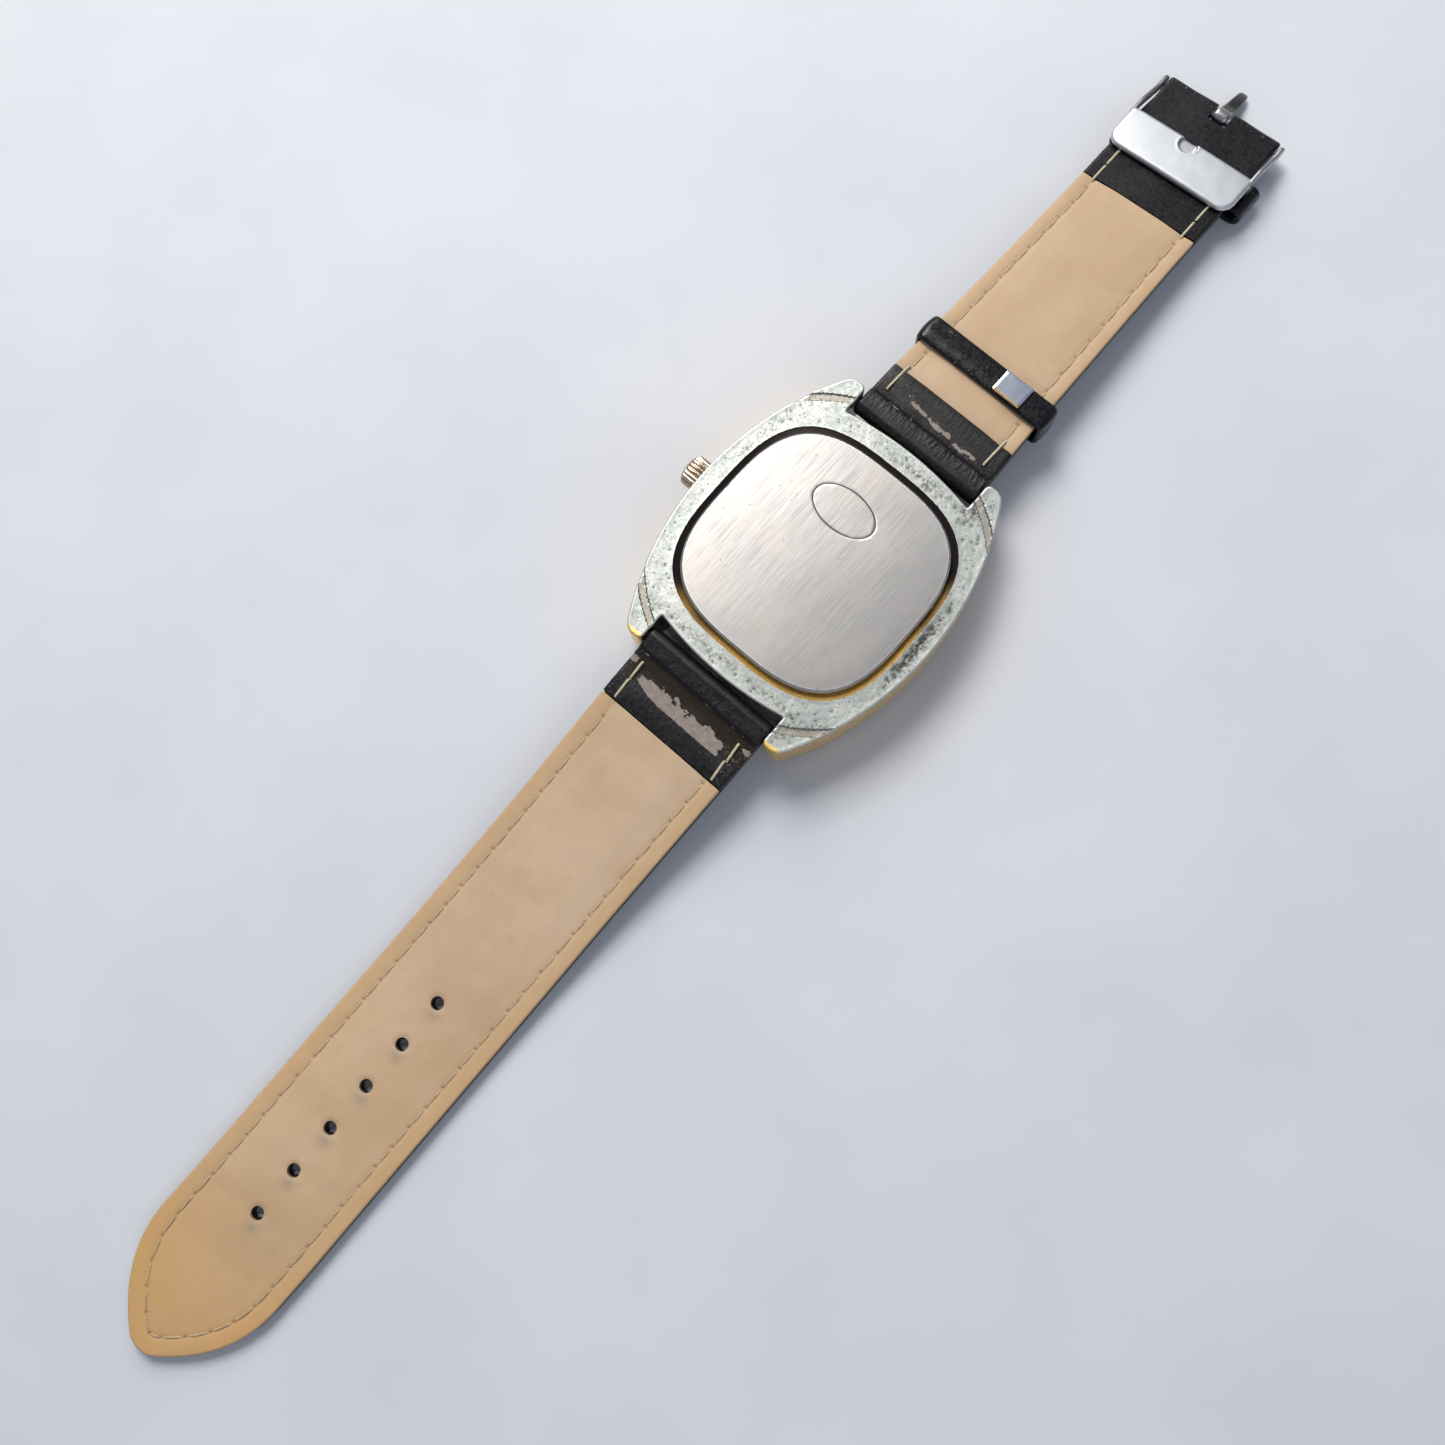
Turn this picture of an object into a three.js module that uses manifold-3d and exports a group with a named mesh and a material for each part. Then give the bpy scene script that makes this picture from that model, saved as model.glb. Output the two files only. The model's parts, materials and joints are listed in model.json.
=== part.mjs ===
// A quartz wristwatch on a leather strap, lying face down: millimetres, +Z up out of the case back.
// The origin is the middle of the crystal's flat outer face, which is the surface that the watch lies on.
// +Y points to the buckle end of the strap, and the crown is on the -X side.
import * as THREE from "three";
import { mergeVertices } from "three/addons/utils/BufferGeometryUtils.js";
import Module from "manifold-3d";

const wasm = await Module();
wasm.setup();

// ---------- driving dimensions ----------
// Case
const LUG_WIDTH = 20; // between the lugs
const LUG_T = 2.29; // thickness of a lug at its tip, in plan
const LUG_END = 21.9; // tips of the lugs, along Y
const CASE_SIDE_R = 42; // radius of each bowed flank, in plan
const CASE_BACK_Z = 8.8; // the raw back face of the case
const BEZEL_Z = 0.5; // the front face of the case, around the crystal
const LUG_TIP_Z = 3.0; // the front of a lug at its tip
const FLANK_Z = 1.9; // the front of the case at its flanks
const SLOT_BOW = 1.1; // how far the strap slot's end wall bows out between the lugs
const RING_STEP = { from: 21.4, width: 1, depth: 0.25 }; // turned step across the lugs
const SQUIRCLE = 3.1; // exponent of the cushion outline that the crystal, dial and cover share
const CAVITY_HALF = 13.7; // half the width of the room for the movement
const COVER_FLANGE = 1.25; // how far the cover reaches beyond that room
const COVER_RISE = 0.5; // how far the cover stands proud of the case
const CHAMFER = 0.85; // of the case's edge round the cover
const CRYSTAL_HALF = 13.6;
const CRYSTAL_T = 1.55;
const CRYSTAL_SEAT = 0.7; // width of the ledge that the crystal lies on
const DIAL_Z = 3.25;
const DIAL_T = 0.4;
const FIT = 0.1; // clearance between pieces that are laid into each other
const SLIP = 0.06; // clearance between pieces that turn or slide on each other

// Crown and stem
const STEM_Z = 4.8;
const STEM_R = 0.5;
const CROWN_R = 2.2;
const CROWN_GAP = 0.3; // between the crown and the flank of the case
const CROWN_LENGTH = 2.85;
const TUBE_R = 1.15;

// Spring bars at the lugs
const BAR_Y = 20.3;
const BAR_DEPTH = 1.9; // of their axis below the back face
const BAR_R = 0.75;
const TIP_R = 0.38;
const LOOP_WALL = 0.6; // leather round a bar, and the play in it
const BAR_PLAY = 0.2;

// Strap
const STRAP_PLAY = 0.2; // at each side, between the lugs
const LINING_T = 0.8;
const LAYER_GAP = 0.05;
const HOLE_R = 0.78;
const HOLE_PITCH = 6.54;
const HOLE_COUNT = 6;
const FIRST_HOLE = 71.9; // from the middle of the case
const LONG_TIP = 125.3;
const LONG_FOLD = 29.4; // end of the leather that is turned over the bar
const LONG_REST = 80; // from here on the long strap lies flat
const LONG_SWAY = 0.9; // how far the long strap bends sideways
const LONG_TAPER = 0.25; // loss of half-width along the long strap
const ARCH = 14.3; // length of the pointed end
const SHORT_TAPER = 0.95; // loss of half-width along the short strap
const SHORT_FOLD = 27.2;
const TURNED = 18.7; // length of the leather that is turned over the buckle's bar

// Buckle
const BUCKLE_BAR_Y = 85.2;
const BUCKLE_BAR_R = 0.65;
const BUCKLE_LOOP_WALL = 0.65;
const BUCKLE_SIDE = 0.6; // thickness of the frame's arms
const PLATE = { back: 6.9, width: 6.4, thickness: 0.9, corner: 2 }; // back: from the bar to the plate
const SKEW_DEG = 4; // how far the buckle end of the strap has stretched askew
const TONGUE = { length: 6.6, width: 1.8, thickness: 0.9, drop: 16 };

// Keepers
const KEEPER_T = 0.75; // thickness of the free keeper's leather at its sides
const FREE_KEEPER = { middle: 33.9, width: 4, play: 0.3, height: 3.9, shift: 0.15, band: 0.9 };
const FIXED_KEEPER = { back: 8.7, width: 4.6, left: 0.95, right: 2.25, tab: 2, tabT: 0.6, drop: 1.8 };

// ---------- sizes that follow ----------
const COVER_HALF = CAVITY_HALF + COVER_FLANGE;
const COVER_Z = CASE_BACK_Z + COVER_RISE;
const LEDGE_Z = CASE_BACK_Z - 0.9; // the cover's seat in the case
const GASKET_HALF = CAVITY_HALF + 0.5;
const GASKET_T = 0.5;
const BEZEL_HALF = CRYSTAL_HALF + 0.7; // how far the flat of the bezel reaches
const FLANGE_HALF = CRYSTAL_HALF - CRYSTAL_SEAT; // the opening between crystal and dial
const DIAL_OPENING = FLANGE_HALF - 0.7; // inside the dial ring
const CASE_HALF_WIDTH = LUG_WIDTH / 2 + LUG_T + CASE_SIDE_R - Math.sqrt(CASE_SIDE_R ** 2 - LUG_END ** 2);
const CROWN_INNER_X = CASE_HALF_WIDTH + CROWN_GAP;
const CROWN_OUTER_X = CROWN_INNER_X + CROWN_LENGTH;
const BAR_Z = CASE_BACK_Z - BAR_DEPTH;
const LOOP_R = BAR_R + LOOP_WALL; // outside of the leather round a lug bar
const SLOT_MID = BAR_Y - LOOP_R - 0.2; // end wall of the strap slot, at its middle
const STRAP_HALF = LUG_WIDTH / 2 - STRAP_PLAY; // half the width of the leather between the lugs
const LONG_HALF = STRAP_HALF - LONG_TAPER;
const TIP_START = LONG_TIP - ARCH;
const SHORT_HALF = STRAP_HALF - SHORT_TAPER; // half the width of the short strap at the buckle
const SHORT_TURN = BUCKLE_BAR_Y - TURNED;
const BUCKLE_LOOP_R = BUCKLE_BAR_R + BUCKLE_LOOP_WALL;
const BUCKLE_INNER = SHORT_HALF + 0.1;
const BUCKLE_OUTER = BUCKLE_INNER + BUCKLE_SIDE;
const PLATE_NEAR = BUCKLE_BAR_Y - PLATE.back;
const PLATE_FAR = PLATE_NEAR - PLATE.width;
const FIXED_KEEPER_Y = BUCKLE_BAR_Y - FIXED_KEEPER.back;
const WIDE = 2 * LUG_WIDTH; // further than anything reaches to the side

// ---------- materials ----------
const paint = (color, roughness, metalness, extra = {}) =>
  new THREE.MeshStandardMaterial({ color, roughness, metalness, ...extra });
const FINISH = {
  casting: () => paint(0xb9bfb4, 0.5, 0.8),
  steel: () => paint(0xc4bfb8, 0.35, 1),
  bright: () => paint(0xd6d8da, 0.2, 1),
  gold: () => paint(0xcda24a, 0.3, 1),
  brass: () => paint(0xc9a65c, 0.35, 1),
  dial: () => paint(0xe9e4d4, 0.5, 0),
  glass: () => paint(0xdfe8ea, 0.05, 0, { transparent: true, opacity: 0.35 }),
  plastic: () => paint(0xe6e6e0, 0.5, 0),
  board: () => paint(0x2e5a3a, 0.5, 0),
  black: () => paint(0x17171a, 0.5, 0),
  copper: () => paint(0xb5653a, 0.4, 0.8),
  rubber: () => paint(0x202022, 0.8, 0),
  leather: () => paint(0x16161a, 0.45, 0),
  lining: () => paint(0xcbad87, 0.7, 0),
};

// ---------- shapes and solids ----------
const watch = new THREE.Group();

function solid(geometry) {
  const bare = geometry.clone();
  bare.deleteAttribute("normal");
  bare.deleteAttribute("uv");
  const merged = mergeVertices(bare, 1e-4);
  return new wasm.Manifold(
    new wasm.Mesh({
      numProp: 3,
      vertProperties: new Float32Array(merged.attributes.position.array),
      triVerts: new Uint32Array(merged.index.array),
    }),
  );
}

function geometryOf(manifold) {
  const mesh = manifold.getMesh();
  const geometry = new THREE.BufferGeometry();
  geometry.setAttribute("position", new THREE.BufferAttribute(mesh.vertProperties.slice(), 3));
  geometry.setIndex(new THREE.BufferAttribute(mesh.triVerts.slice(), 1));
  geometry.computeVertexNormals();
  return geometry;
}

const cut = (from, ...tools) => tools.reduce((left, tool) => left.subtract(tool), from);
const join = (first, ...others) => others.reduce((sum, other) => sum.add(other), first);

function add(name, manifold, material) {
  const mesh = new THREE.Mesh(geometryOf(manifold), material);
  mesh.name = name;
  watch.add(mesh);
}

// Each vertex of a solid moved by a function of its place.
function bent(manifold, move) {
  const geometry = geometryOf(manifold);
  const place = geometry.attributes.position;
  const v = new THREE.Vector3();
  for (let i = 0; i < place.count; i++) {
    v.fromBufferAttribute(place, i);
    move(v);
    place.setXYZ(i, v.x, v.y, v.z);
  }
  return solid(geometry);
}

const extruded = (shape, z0, z1) =>
  solid(new THREE.ExtrudeGeometry(shape, { depth: z1 - z0, bevelEnabled: false }).translate(0, 0, z0));

// A shape drawn in (y, z), extruded along X.
const ALONG_X = new THREE.Matrix4().makeBasis(
  new THREE.Vector3(0, 1, 0),
  new THREE.Vector3(0, 0, 1),
  new THREE.Vector3(1, 0, 0),
);
// A shape drawn in (z, x), extruded along Y.
const ALONG_Y = new THREE.Matrix4().makeBasis(
  new THREE.Vector3(0, 0, 1),
  new THREE.Vector3(1, 0, 0),
  new THREE.Vector3(0, 1, 0),
);

function extrudedAlong(basis, shape, from, to) {
  const geometry = new THREE.ExtrudeGeometry(shape, { depth: to - from, bevelEnabled: false });
  return solid(geometry.translate(0, 0, from).applyMatrix4(basis));
}

const polygon = (points) => new THREE.Shape(points.map(([x, y]) => new THREE.Vector2(x, y)));

const box = (x0, x1, y0, y1, z0, z1) =>
  solid(
    new THREE.BoxGeometry(x1 - x0, y1 - y0, z1 - z0).translate((x0 + x1) / 2, (y0 + y1) / 2, (z0 + z1) / 2),
  );

function circle(r, sides, cx = 0, cy = 0) {
  const points = [];
  for (let i = 0; i < sides; i++) {
    const a = (2 * Math.PI * i) / sides;
    points.push([cx + r * Math.cos(a), cy + r * Math.sin(a)]);
  }
  return polygon(points);
}

const disc = (r, z0, z1, cx = 0, cy = 0, sides = 24) => extruded(circle(r, sides, cx, cy), z0, z1);
const rod = (r, x0, x1, y, z, sides = 16) => extrudedAlong(ALONG_X, circle(r, sides, y, z), x0, x1);

// The cushion outline |x/a|^n + |y/b|^n = 1.
function squircle(half, sides = 40) {
  const points = [];
  const bend = (c) => Math.sign(c) * Math.abs(c) ** (2 / SQUIRCLE);
  for (let i = 0; i < sides; i++) {
    const a = (2 * Math.PI * (i + 0.5)) / sides;
    points.push([half * bend(Math.cos(a)), half * bend(Math.sin(a))]);
  }
  return points;
}

const cushion = (half, z0, z1) => extruded(polygon(squircle(half)), z0, z1);

// A cushion whose outline grows from one size to another as it rises.
function flared(half0, z0, half1, z1) {
  return bent(cushion(1, z0, z1), (v) => {
    const half = v.z > (z0 + z1) / 2 ? half1 : half0;
    v.x *= half;
    v.y *= half;
  });
}

const cushionRing = (outer, inner, z0, z1) => cut(cushion(outer, z0, z1), cushion(inner, z0 - 1, z1 + 1));

// ---------- case ----------
const sideX = (y) => CASE_HALF_WIDTH - CASE_SIDE_R + Math.sqrt(CASE_SIDE_R ** 2 - y ** 2);

// Points of the arc of the slot's end wall, from the lug to the middle.
function slotArc(steps) {
  const half = LUG_WIDTH / 2;
  const drop = SLOT_BOW;
  const r = (half ** 2 + drop ** 2) / (2 * drop);
  const points = [];
  for (let i = 0; i <= steps; i++) {
    const x = half * (1 - i / steps);
    points.push([x, SLOT_MID - r + Math.sqrt(r ** 2 - x ** 2)]);
  }
  return points;
}

function caseOutline() {
  const tip = 1.1; // rounding of a lug's outer corner
  const quarter = [];
  const steps = 8;
  for (let i = 0; i <= steps; i++) {
    const y = ((LUG_END - tip) * i) / steps;
    quarter.push([sideX(y), y]);
  }
  quarter.push([sideX(LUG_END - 0.35) - 0.12, LUG_END - 0.35]);
  quarter.push([sideX(LUG_END) - 0.75, LUG_END]);
  quarter.push([LUG_WIDTH / 2 + 0.45, LUG_END]);
  quarter.push([LUG_WIDTH / 2, LUG_END - 0.45]);
  quarter.push(...slotArc(4));
  const upperLeft = quarter.map(([x, y]) => [-x, y]).reverse();
  const upper = [...quarter, ...upperLeft.slice(1)];
  const lower = upper.map(([x, y]) => [-x, -y]);
  return polygon([...upper.slice(0, -1), ...lower.slice(0, -1)]);
}

// The front of the case, as seen from one side: flat round the crystal, falling away beyond it.
function frontProfile(reach, edgeZ, power) {
  const steps = 5;
  const side = [];
  for (let i = 0; i <= steps; i++) {
    const t = i / steps;
    side.push([BEZEL_HALF + (reach - BEZEL_HALF) * t, BEZEL_Z + (edgeZ - BEZEL_Z) * t ** power]);
  }
  const far = reach + 1;
  return [
    ...side.map(([u, z]) => [-u, z]).reverse(),
    ...side,
    [far, edgeZ],
    [far, CASE_BACK_Z],
    [-far, CASE_BACK_Z],
    [-far, edgeZ],
  ];
}

const TUBE_END = -CASE_HALF_WIDTH + 2.05; // the tube's inner end, in the wall of the case

function caseBody() {
  const blank = extruded(caseOutline(), 0, CASE_BACK_Z);
  const lengthways = extrudedAlong(ALONG_X, polygon(frontProfile(LUG_END, LUG_TIP_Z, 1.5)), -WIDE, WIDE);
  const across = polygon(frontProfile(CASE_HALF_WIDTH, FLANK_Z, 1.6).map(([u, z]) => [z, u]));
  const widthways = extrudedAlong(ALONG_Y, across, -WIDE, WIDE);
  const rough = blank.intersect(lengthways).intersect(widthways);
  const lip = cut(
    disc(RING_STEP.from + RING_STEP.width, CASE_BACK_Z - RING_STEP.depth, CASE_BACK_Z + 1, 0, 0, 60),
    disc(RING_STEP.from, 0, CASE_BACK_Z + 2, 0, 0, 60),
  );
  const holes = [];
  for (const side of [-1, 1]) {
    for (const end of [-1, 1]) {
      const inner = side * (LUG_WIDTH / 2 - 0.5);
      const outer = side * (LUG_WIDTH / 2 + 1.35);
      holes.push(
        rod(TIP_R + SLIP, Math.min(inner, outer), Math.max(inner, outer), end * BAR_Y, BAR_Z, 12),
      );
    }
  }
  return cut(
    rough,
    lip,
    cushion(CRYSTAL_HALF + 0.4, 0, CRYSTAL_T + 0.05),
    cushion(FLANGE_HALF, 0, DIAL_Z),
    cushion(CAVITY_HALF, DIAL_Z - 0.05, LEDGE_Z),
    cushion(GASKET_HALF, LEDGE_Z - GASKET_T, LEDGE_Z),
    flared(COVER_HALF + 0.05, LEDGE_Z, COVER_HALF + 0.05 + CHAMFER, CASE_BACK_Z + 0.001),
    rod(TUBE_R + 0.05, -WIDE, TUBE_END + 0.1, 0, STEM_Z, 16),
    rod(STEM_R + 0.25, TUBE_END - 0.6, -CAVITY_HALF + 1, 0, STEM_Z, 16),
    ...holes,
  );
}

const SKIRT_Z = LEDGE_Z - 0.45;

// The push-fit cover: a plate over the opening, with a skirt that grips inside it.
function coverShape() {
  const skirt = { outer: CAVITY_HALF - 0.15, inner: CAVITY_HALF - 0.75, bottom: SKIRT_Z };
  const edge = 0.25;
  const plate = join(
    cushion(COVER_HALF, LEDGE_Z + 0.05, COVER_Z - edge),
    flared(COVER_HALF, COVER_Z - edge, COVER_HALF - edge, COVER_Z),
  );
  const hollow = cushion(skirt.inner, LEDGE_Z, COVER_Z - 0.8);
  return cut(join(plate, cushionRing(skirt.outer, skirt.inner, skirt.bottom, LEDGE_Z + 0.2)), hollow);
}

function crystalShape() {
  const edge = 0.3;
  return join(
    flared(CRYSTAL_HALF - edge, 0, CRYSTAL_HALF, edge),
    cushion(CRYSTAL_HALF, edge, CRYSTAL_T),
  );
}

const STEM_END = CROWN_OUTER_X - 0.65;

// The crown: a fluted knob with a domed end, hollow inside for the tube and its seal.
function crownShape() {
  const flutes = 20;
  const rim = [];
  for (let i = 0; i < flutes * 2; i++) {
    const r = CROWN_R - (i % 2) * 0.22;
    const a = (Math.PI * i) / flutes;
    rim.push([r * Math.cos(a), STEM_Z + r * Math.sin(a)]);
  }
  const knob = extrudedAlong(ALONG_X, polygon(rim), -CROWN_OUTER_X, -CROWN_INNER_X);
  const dome = [
    [0, CROWN_OUTER_X],
    [CROWN_R * 0.55, CROWN_OUTER_X - 0.12],
    [CROWN_R * 0.85, CROWN_OUTER_X - 0.5],
    [CROWN_R, CROWN_OUTER_X - 0.95],
    [CROWN_R + 0.05, CROWN_INNER_X + 0.3],
    [CROWN_R - 0.15, CROWN_INNER_X],
    [0, CROWN_INNER_X],
  ].map(([r, x]) => new THREE.Vector2(r, x));
  const turned = new THREE.LatheGeometry(dome.reverse(), 20).rotateZ(Math.PI / 2).translate(0, 0, STEM_Z);
  return cut(
    knob.intersect(solid(turned)),
    rod(TUBE_R + 0.47, -CROWN_INNER_X - 1.2, -CROWN_INNER_X + 1, 0, STEM_Z, 16),
    rod(STEM_R + SLIP, -STEM_END - 0.05, -CROWN_INNER_X, 0, STEM_Z, 12),
  );
}

add("case_body", caseBody(), FINISH.casting());
add("case_back_cover", coverShape(), FINISH.steel());
add(
  "case_back_gasket",
  cushionRing(GASKET_HALF - 0.05, CAVITY_HALF + 0.05, LEDGE_Z - GASKET_T + FIT, LEDGE_Z - 0.05),
  FINISH.rubber(),
);
add("crystal", crystalShape(), FINISH.glass());
add(
  "crystal_gasket",
  cushionRing(CRYSTAL_HALF + 0.35, CRYSTAL_HALF + 0.05, BEZEL_Z + FIT, CRYSTAL_T - 0.05),
  FINISH.plastic(),
);
add("crown", crownShape(), FINISH.gold());
add(
  "crown_tube",
  cut(rod(TUBE_R, -CROWN_INNER_X - 0.95, TUBE_END, 0, STEM_Z), rod(STEM_R + 0.2, -WIDE, 0, 0, STEM_Z)),
  FINISH.bright(),
);
add(
  "crown_gasket",
  cut(
    rod(TUBE_R + 0.41, -CROWN_INNER_X - 0.75, -CROWN_INNER_X - 0.3, 0, STEM_Z),
    rod(TUBE_R + 0.05, -WIDE, 0, 0, STEM_Z),
  ),
  FINISH.rubber(),
);

// ---------- dial side ----------
const MINUTE_TUBE_R = 0.4;
const HOUR_TUBE_R = 0.7;
const SECONDS_R = 0.12;

function dialShape() {
  const reach = DIAL_OPENING - 1.2;
  const marks = [];
  for (let hour = 0; hour < 12; hour++) {
    const long = hour % 3 === 0 ? 2.4 : 1.7;
    const mark = box(-0.25, 0.25, reach - long, reach, DIAL_Z - 0.2, DIAL_Z + 0.1);
    marks.push(mark.rotate([0, 0, (360 * hour) / 12]));
  }
  const plate = cushion(CAVITY_HALF - 0.3, DIAL_Z + 0.02, DIAL_Z + DIAL_T);
  return cut(join(plate, ...marks), disc(HOUR_TUBE_R + 0.15, 0, 10));
}

// A hand: a hub with a bore, and a tapered blade with a short tail.
function hand(length, tail, width, hubR, bore, z0, z1) {
  const blade = polygon([
    [-width / 2, -tail],
    [width / 2, -tail],
    [width / 2, length * 0.7],
    [0, length],
    [-width / 2, length * 0.7],
  ]);
  const body = join(extruded(blade, z0, z1), disc(hubR, z0, z1, 0, 0, 20));
  return cut(body, disc(bore, z0 - 1, z1 + 1, 0, 0, 16));
}

const turned = (manifold, degrees) => manifold.rotate([0, 0, degrees]);

add("dial", dialShape(), FINISH.dial());
add("dial_ring", cushionRing(FLANGE_HALF - FIT, DIAL_OPENING, CRYSTAL_T + 0.1, DIAL_Z - 0.05), FINISH.gold());
const hourHand = hand(DIAL_OPENING - 5.2, 1.5, 0.9, 1.1, HOUR_TUBE_R + 0.02, 2.75, 2.95);
const minuteHand = hand(DIAL_OPENING - 1.9, 2, 0.7, 0.8, MINUTE_TUBE_R + 0.02, 2.3, 2.45);
const secondHand = hand(DIAL_OPENING - 1.2, 3, 0.25, 0.5, SECONDS_R + 0.02, 1.9, 2.0);
add("hour_hand", turned(hourHand, 60), FINISH.gold());
add("minute_hand", turned(minuteHand, -60), FINISH.gold());
add("second_hand", turned(secondHand, 150), FINISH.gold());

// ---------- gears ----------
// A wheel's outline: each tooth is a point, as fine as a watch train's, with its root below the mate's tips.
function gearOutline(teeth, module, phase = 0) {
  const pitch = (module * teeth) / 2;
  const tip = pitch + 0.8 * module;
  const root = Math.max(pitch - 1.1 * module, 0.12);
  const step = (2 * Math.PI) / teeth;
  const points = [];
  for (let i = 0; i < teeth; i++) {
    for (const [r, share] of [
      [root, -0.3],
      [tip, 0],
      [root, 0.3],
    ]) {
      const a = phase + step * (i + share);
      points.push([r * Math.cos(a), r * Math.sin(a)]);
    }
  }
  return points;
}

const at = (points, [cx, cy]) => polygon(points.map(([x, y]) => [x + cx, y + cy]));
const radians = (degrees) => (degrees * Math.PI) / 180;

function polar([cx, cy], r, degrees) {
  const a = radians(degrees);
  return [cx + r * Math.cos(a), cy + r * Math.sin(a)];
}

// The phase that puts a tooth, or a gap, of a gear on the line that points at the given angle.
const toothAt = (degrees) => radians(degrees);
const gapAt = (degrees, teeth) => radians(degrees) + Math.PI / teeth;

const TEETH = { rotor: 6, intermediate: [30, 6], seconds: [36, 6], third: [45, 6], centre: 48, cannon: 8 };
const MOTION = { minute: [24, 6], hour: 24, setting: 12 };
const FAST_MODULE = 0.14; // rotor, intermediate and seconds wheels
const SLOW_MODULE = 0.12; // seconds pinion and third wheel
const apart = (module, a, b) => (module * (a + b)) / 2;
const THIRD_DISTANCE = apart(SLOW_MODULE, TEETH.seconds[1], TEETH.third[0]);
const CENTRE_MODULE = (2 * THIRD_DISTANCE) / (TEETH.third[1] + TEETH.centre);
const HOUR_MODULE = 0.15;
const MINUTE_DISTANCE = apart(HOUR_MODULE, MOTION.hour, MOTION.minute[1]);
const CANNON_MODULE = (2 * MINUTE_DISTANCE) / (TEETH.cannon + MOTION.minute[0]);

const CENTRE = [0, 0];
const INTERMEDIATE_ANGLE = 90;
const ROTOR_ANGLE = 60;
const THIRD_ANGLE = 240;
const MINUTE_ANGLE = 180;
const INTERMEDIATE = polar(
  CENTRE,
  apart(FAST_MODULE, TEETH.seconds[0], TEETH.intermediate[1]),
  INTERMEDIATE_ANGLE,
);
const ROTOR = polar(INTERMEDIATE, apart(FAST_MODULE, TEETH.intermediate[0], TEETH.rotor), ROTOR_ANGLE);
const THIRD = polar(CENTRE, THIRD_DISTANCE, THIRD_ANGLE);
const MINUTE = polar(CENTRE, MINUTE_DISTANCE, MINUTE_ANGLE);
const SETTING = polar(MINUTE, apart(CANNON_MODULE, MOTION.minute[0], MOTION.setting), MINUTE_ANGLE);

// Heights of the movement's layers.
const PLATE_LOW = 4.35;
const PLATE_HIGH = 5.15;
const BRIDGE_LOW = 6.5;
const BRIDGE_HIGH = 6.8;
const BOARD_Z = 6.9;
const PIVOT_R = 0.12;
const PLATE_R = 11.5;

const gear = (teeth, module, phase, centre, z0, z1) =>
  extruded(at(gearOutline(teeth, module, phase), centre), z0, z1);
const arbor = (r, z0, z1, centre) => disc(r, z0, z1, centre[0], centre[1], 10);

const secondsWheel = join(
  gear(TEETH.seconds[0], FAST_MODULE, toothAt(INTERMEDIATE_ANGLE), CENTRE, 5.95, 6.1),
  gear(TEETH.seconds[1], SLOW_MODULE, toothAt(THIRD_ANGLE), CENTRE, 5.55, 5.96),
  arbor(SECONDS_R, 1.85, 6.7, CENTRE),
);
const intermediateWheel = join(
  gear(
    TEETH.intermediate[1],
    FAST_MODULE,
    gapAt(INTERMEDIATE_ANGLE + 180, TEETH.intermediate[1]),
    INTERMEDIATE,
    5.9,
    6.26,
  ),
  gear(TEETH.intermediate[0], FAST_MODULE, toothAt(ROTOR_ANGLE), INTERMEDIATE, 6.25, 6.4),
  arbor(PIVOT_R, 4.6, 6.7, INTERMEDIATE),
);
const rotorWheel = join(
  gear(TEETH.rotor, FAST_MODULE, gapAt(ROTOR_ANGLE + 180, TEETH.rotor), ROTOR, 5.99, 6.45),
  disc(0.75, 5.35, 6.0, ROTOR[0], ROTOR[1], 20),
  arbor(PIVOT_R, 4.6, 6.7, ROTOR),
);
const thirdWheel = join(
  gear(TEETH.third[1], CENTRE_MODULE, toothAt(THIRD_ANGLE + 180), THIRD, 5.22, 5.61),
  gear(TEETH.third[0], SLOW_MODULE, gapAt(THIRD_ANGLE + 180, TEETH.third[0]), THIRD, 5.6, 5.75),
  arbor(PIVOT_R, 4.6, 6.7, THIRD),
);
const centreWheel = cut(
  join(
    gear(TEETH.centre, CENTRE_MODULE, gapAt(THIRD_ANGLE, TEETH.centre), CENTRE, 5.25, 5.4),
    disc(MINUTE_TUBE_R, 2.25, 5.45),
    gear(TEETH.cannon, CANNON_MODULE, toothAt(MINUTE_ANGLE), CENTRE, 4.0, 4.3),
  ),
  disc(SECONDS_R + SLIP, 0, 9, 0, 0, 12),
);
const minuteWheel = cut(
  join(
    gear(MOTION.minute[0], CANNON_MODULE, gapAt(MINUTE_ANGLE + 180, MOTION.minute[0]), MINUTE, 4.0, 4.3),
    gear(MOTION.minute[1], HOUR_MODULE, toothAt(MINUTE_ANGLE + 180), MINUTE, 3.7, 4.01),
  ),
  arbor(PIVOT_R + SLIP, 0, 9, MINUTE),
);
const hourWheel = cut(
  join(
    gear(MOTION.hour, HOUR_MODULE, gapAt(MINUTE_ANGLE, MOTION.hour), CENTRE, 3.7, 3.92),
    disc(HOUR_TUBE_R, 2.7, 3.71),
  ),
  disc(MINUTE_TUBE_R + SLIP, 0, 9),
);
// The minute wheel has a gap towards the centre, so on its far side it has one too if its count is even.
const settingPhase = MOTION.minute[0] % 2 ? gapAt(0, MOTION.setting) : toothAt(0);
const settingWheel = cut(
  gear(
    MOTION.setting,
    CANNON_MODULE,
    settingPhase,
    SETTING,
    4.0,
    4.25,
  ),
  arbor(PIVOT_R + SLIP, 0, 9, SETTING),
);

add("seconds_wheel", secondsWheel, FINISH.brass());
add("intermediate_wheel", intermediateWheel, FINISH.brass());
add("rotor", rotorWheel, FINISH.steel());
add("third_wheel", thirdWheel, FINISH.brass());
add("centre_wheel", centreWheel, FINISH.brass());
add("minute_wheel", minuteWheel, FINISH.brass());
add("hour_wheel", hourWheel, FINISH.brass());
add("setting_wheel", settingWheel, FINISH.brass());

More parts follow.
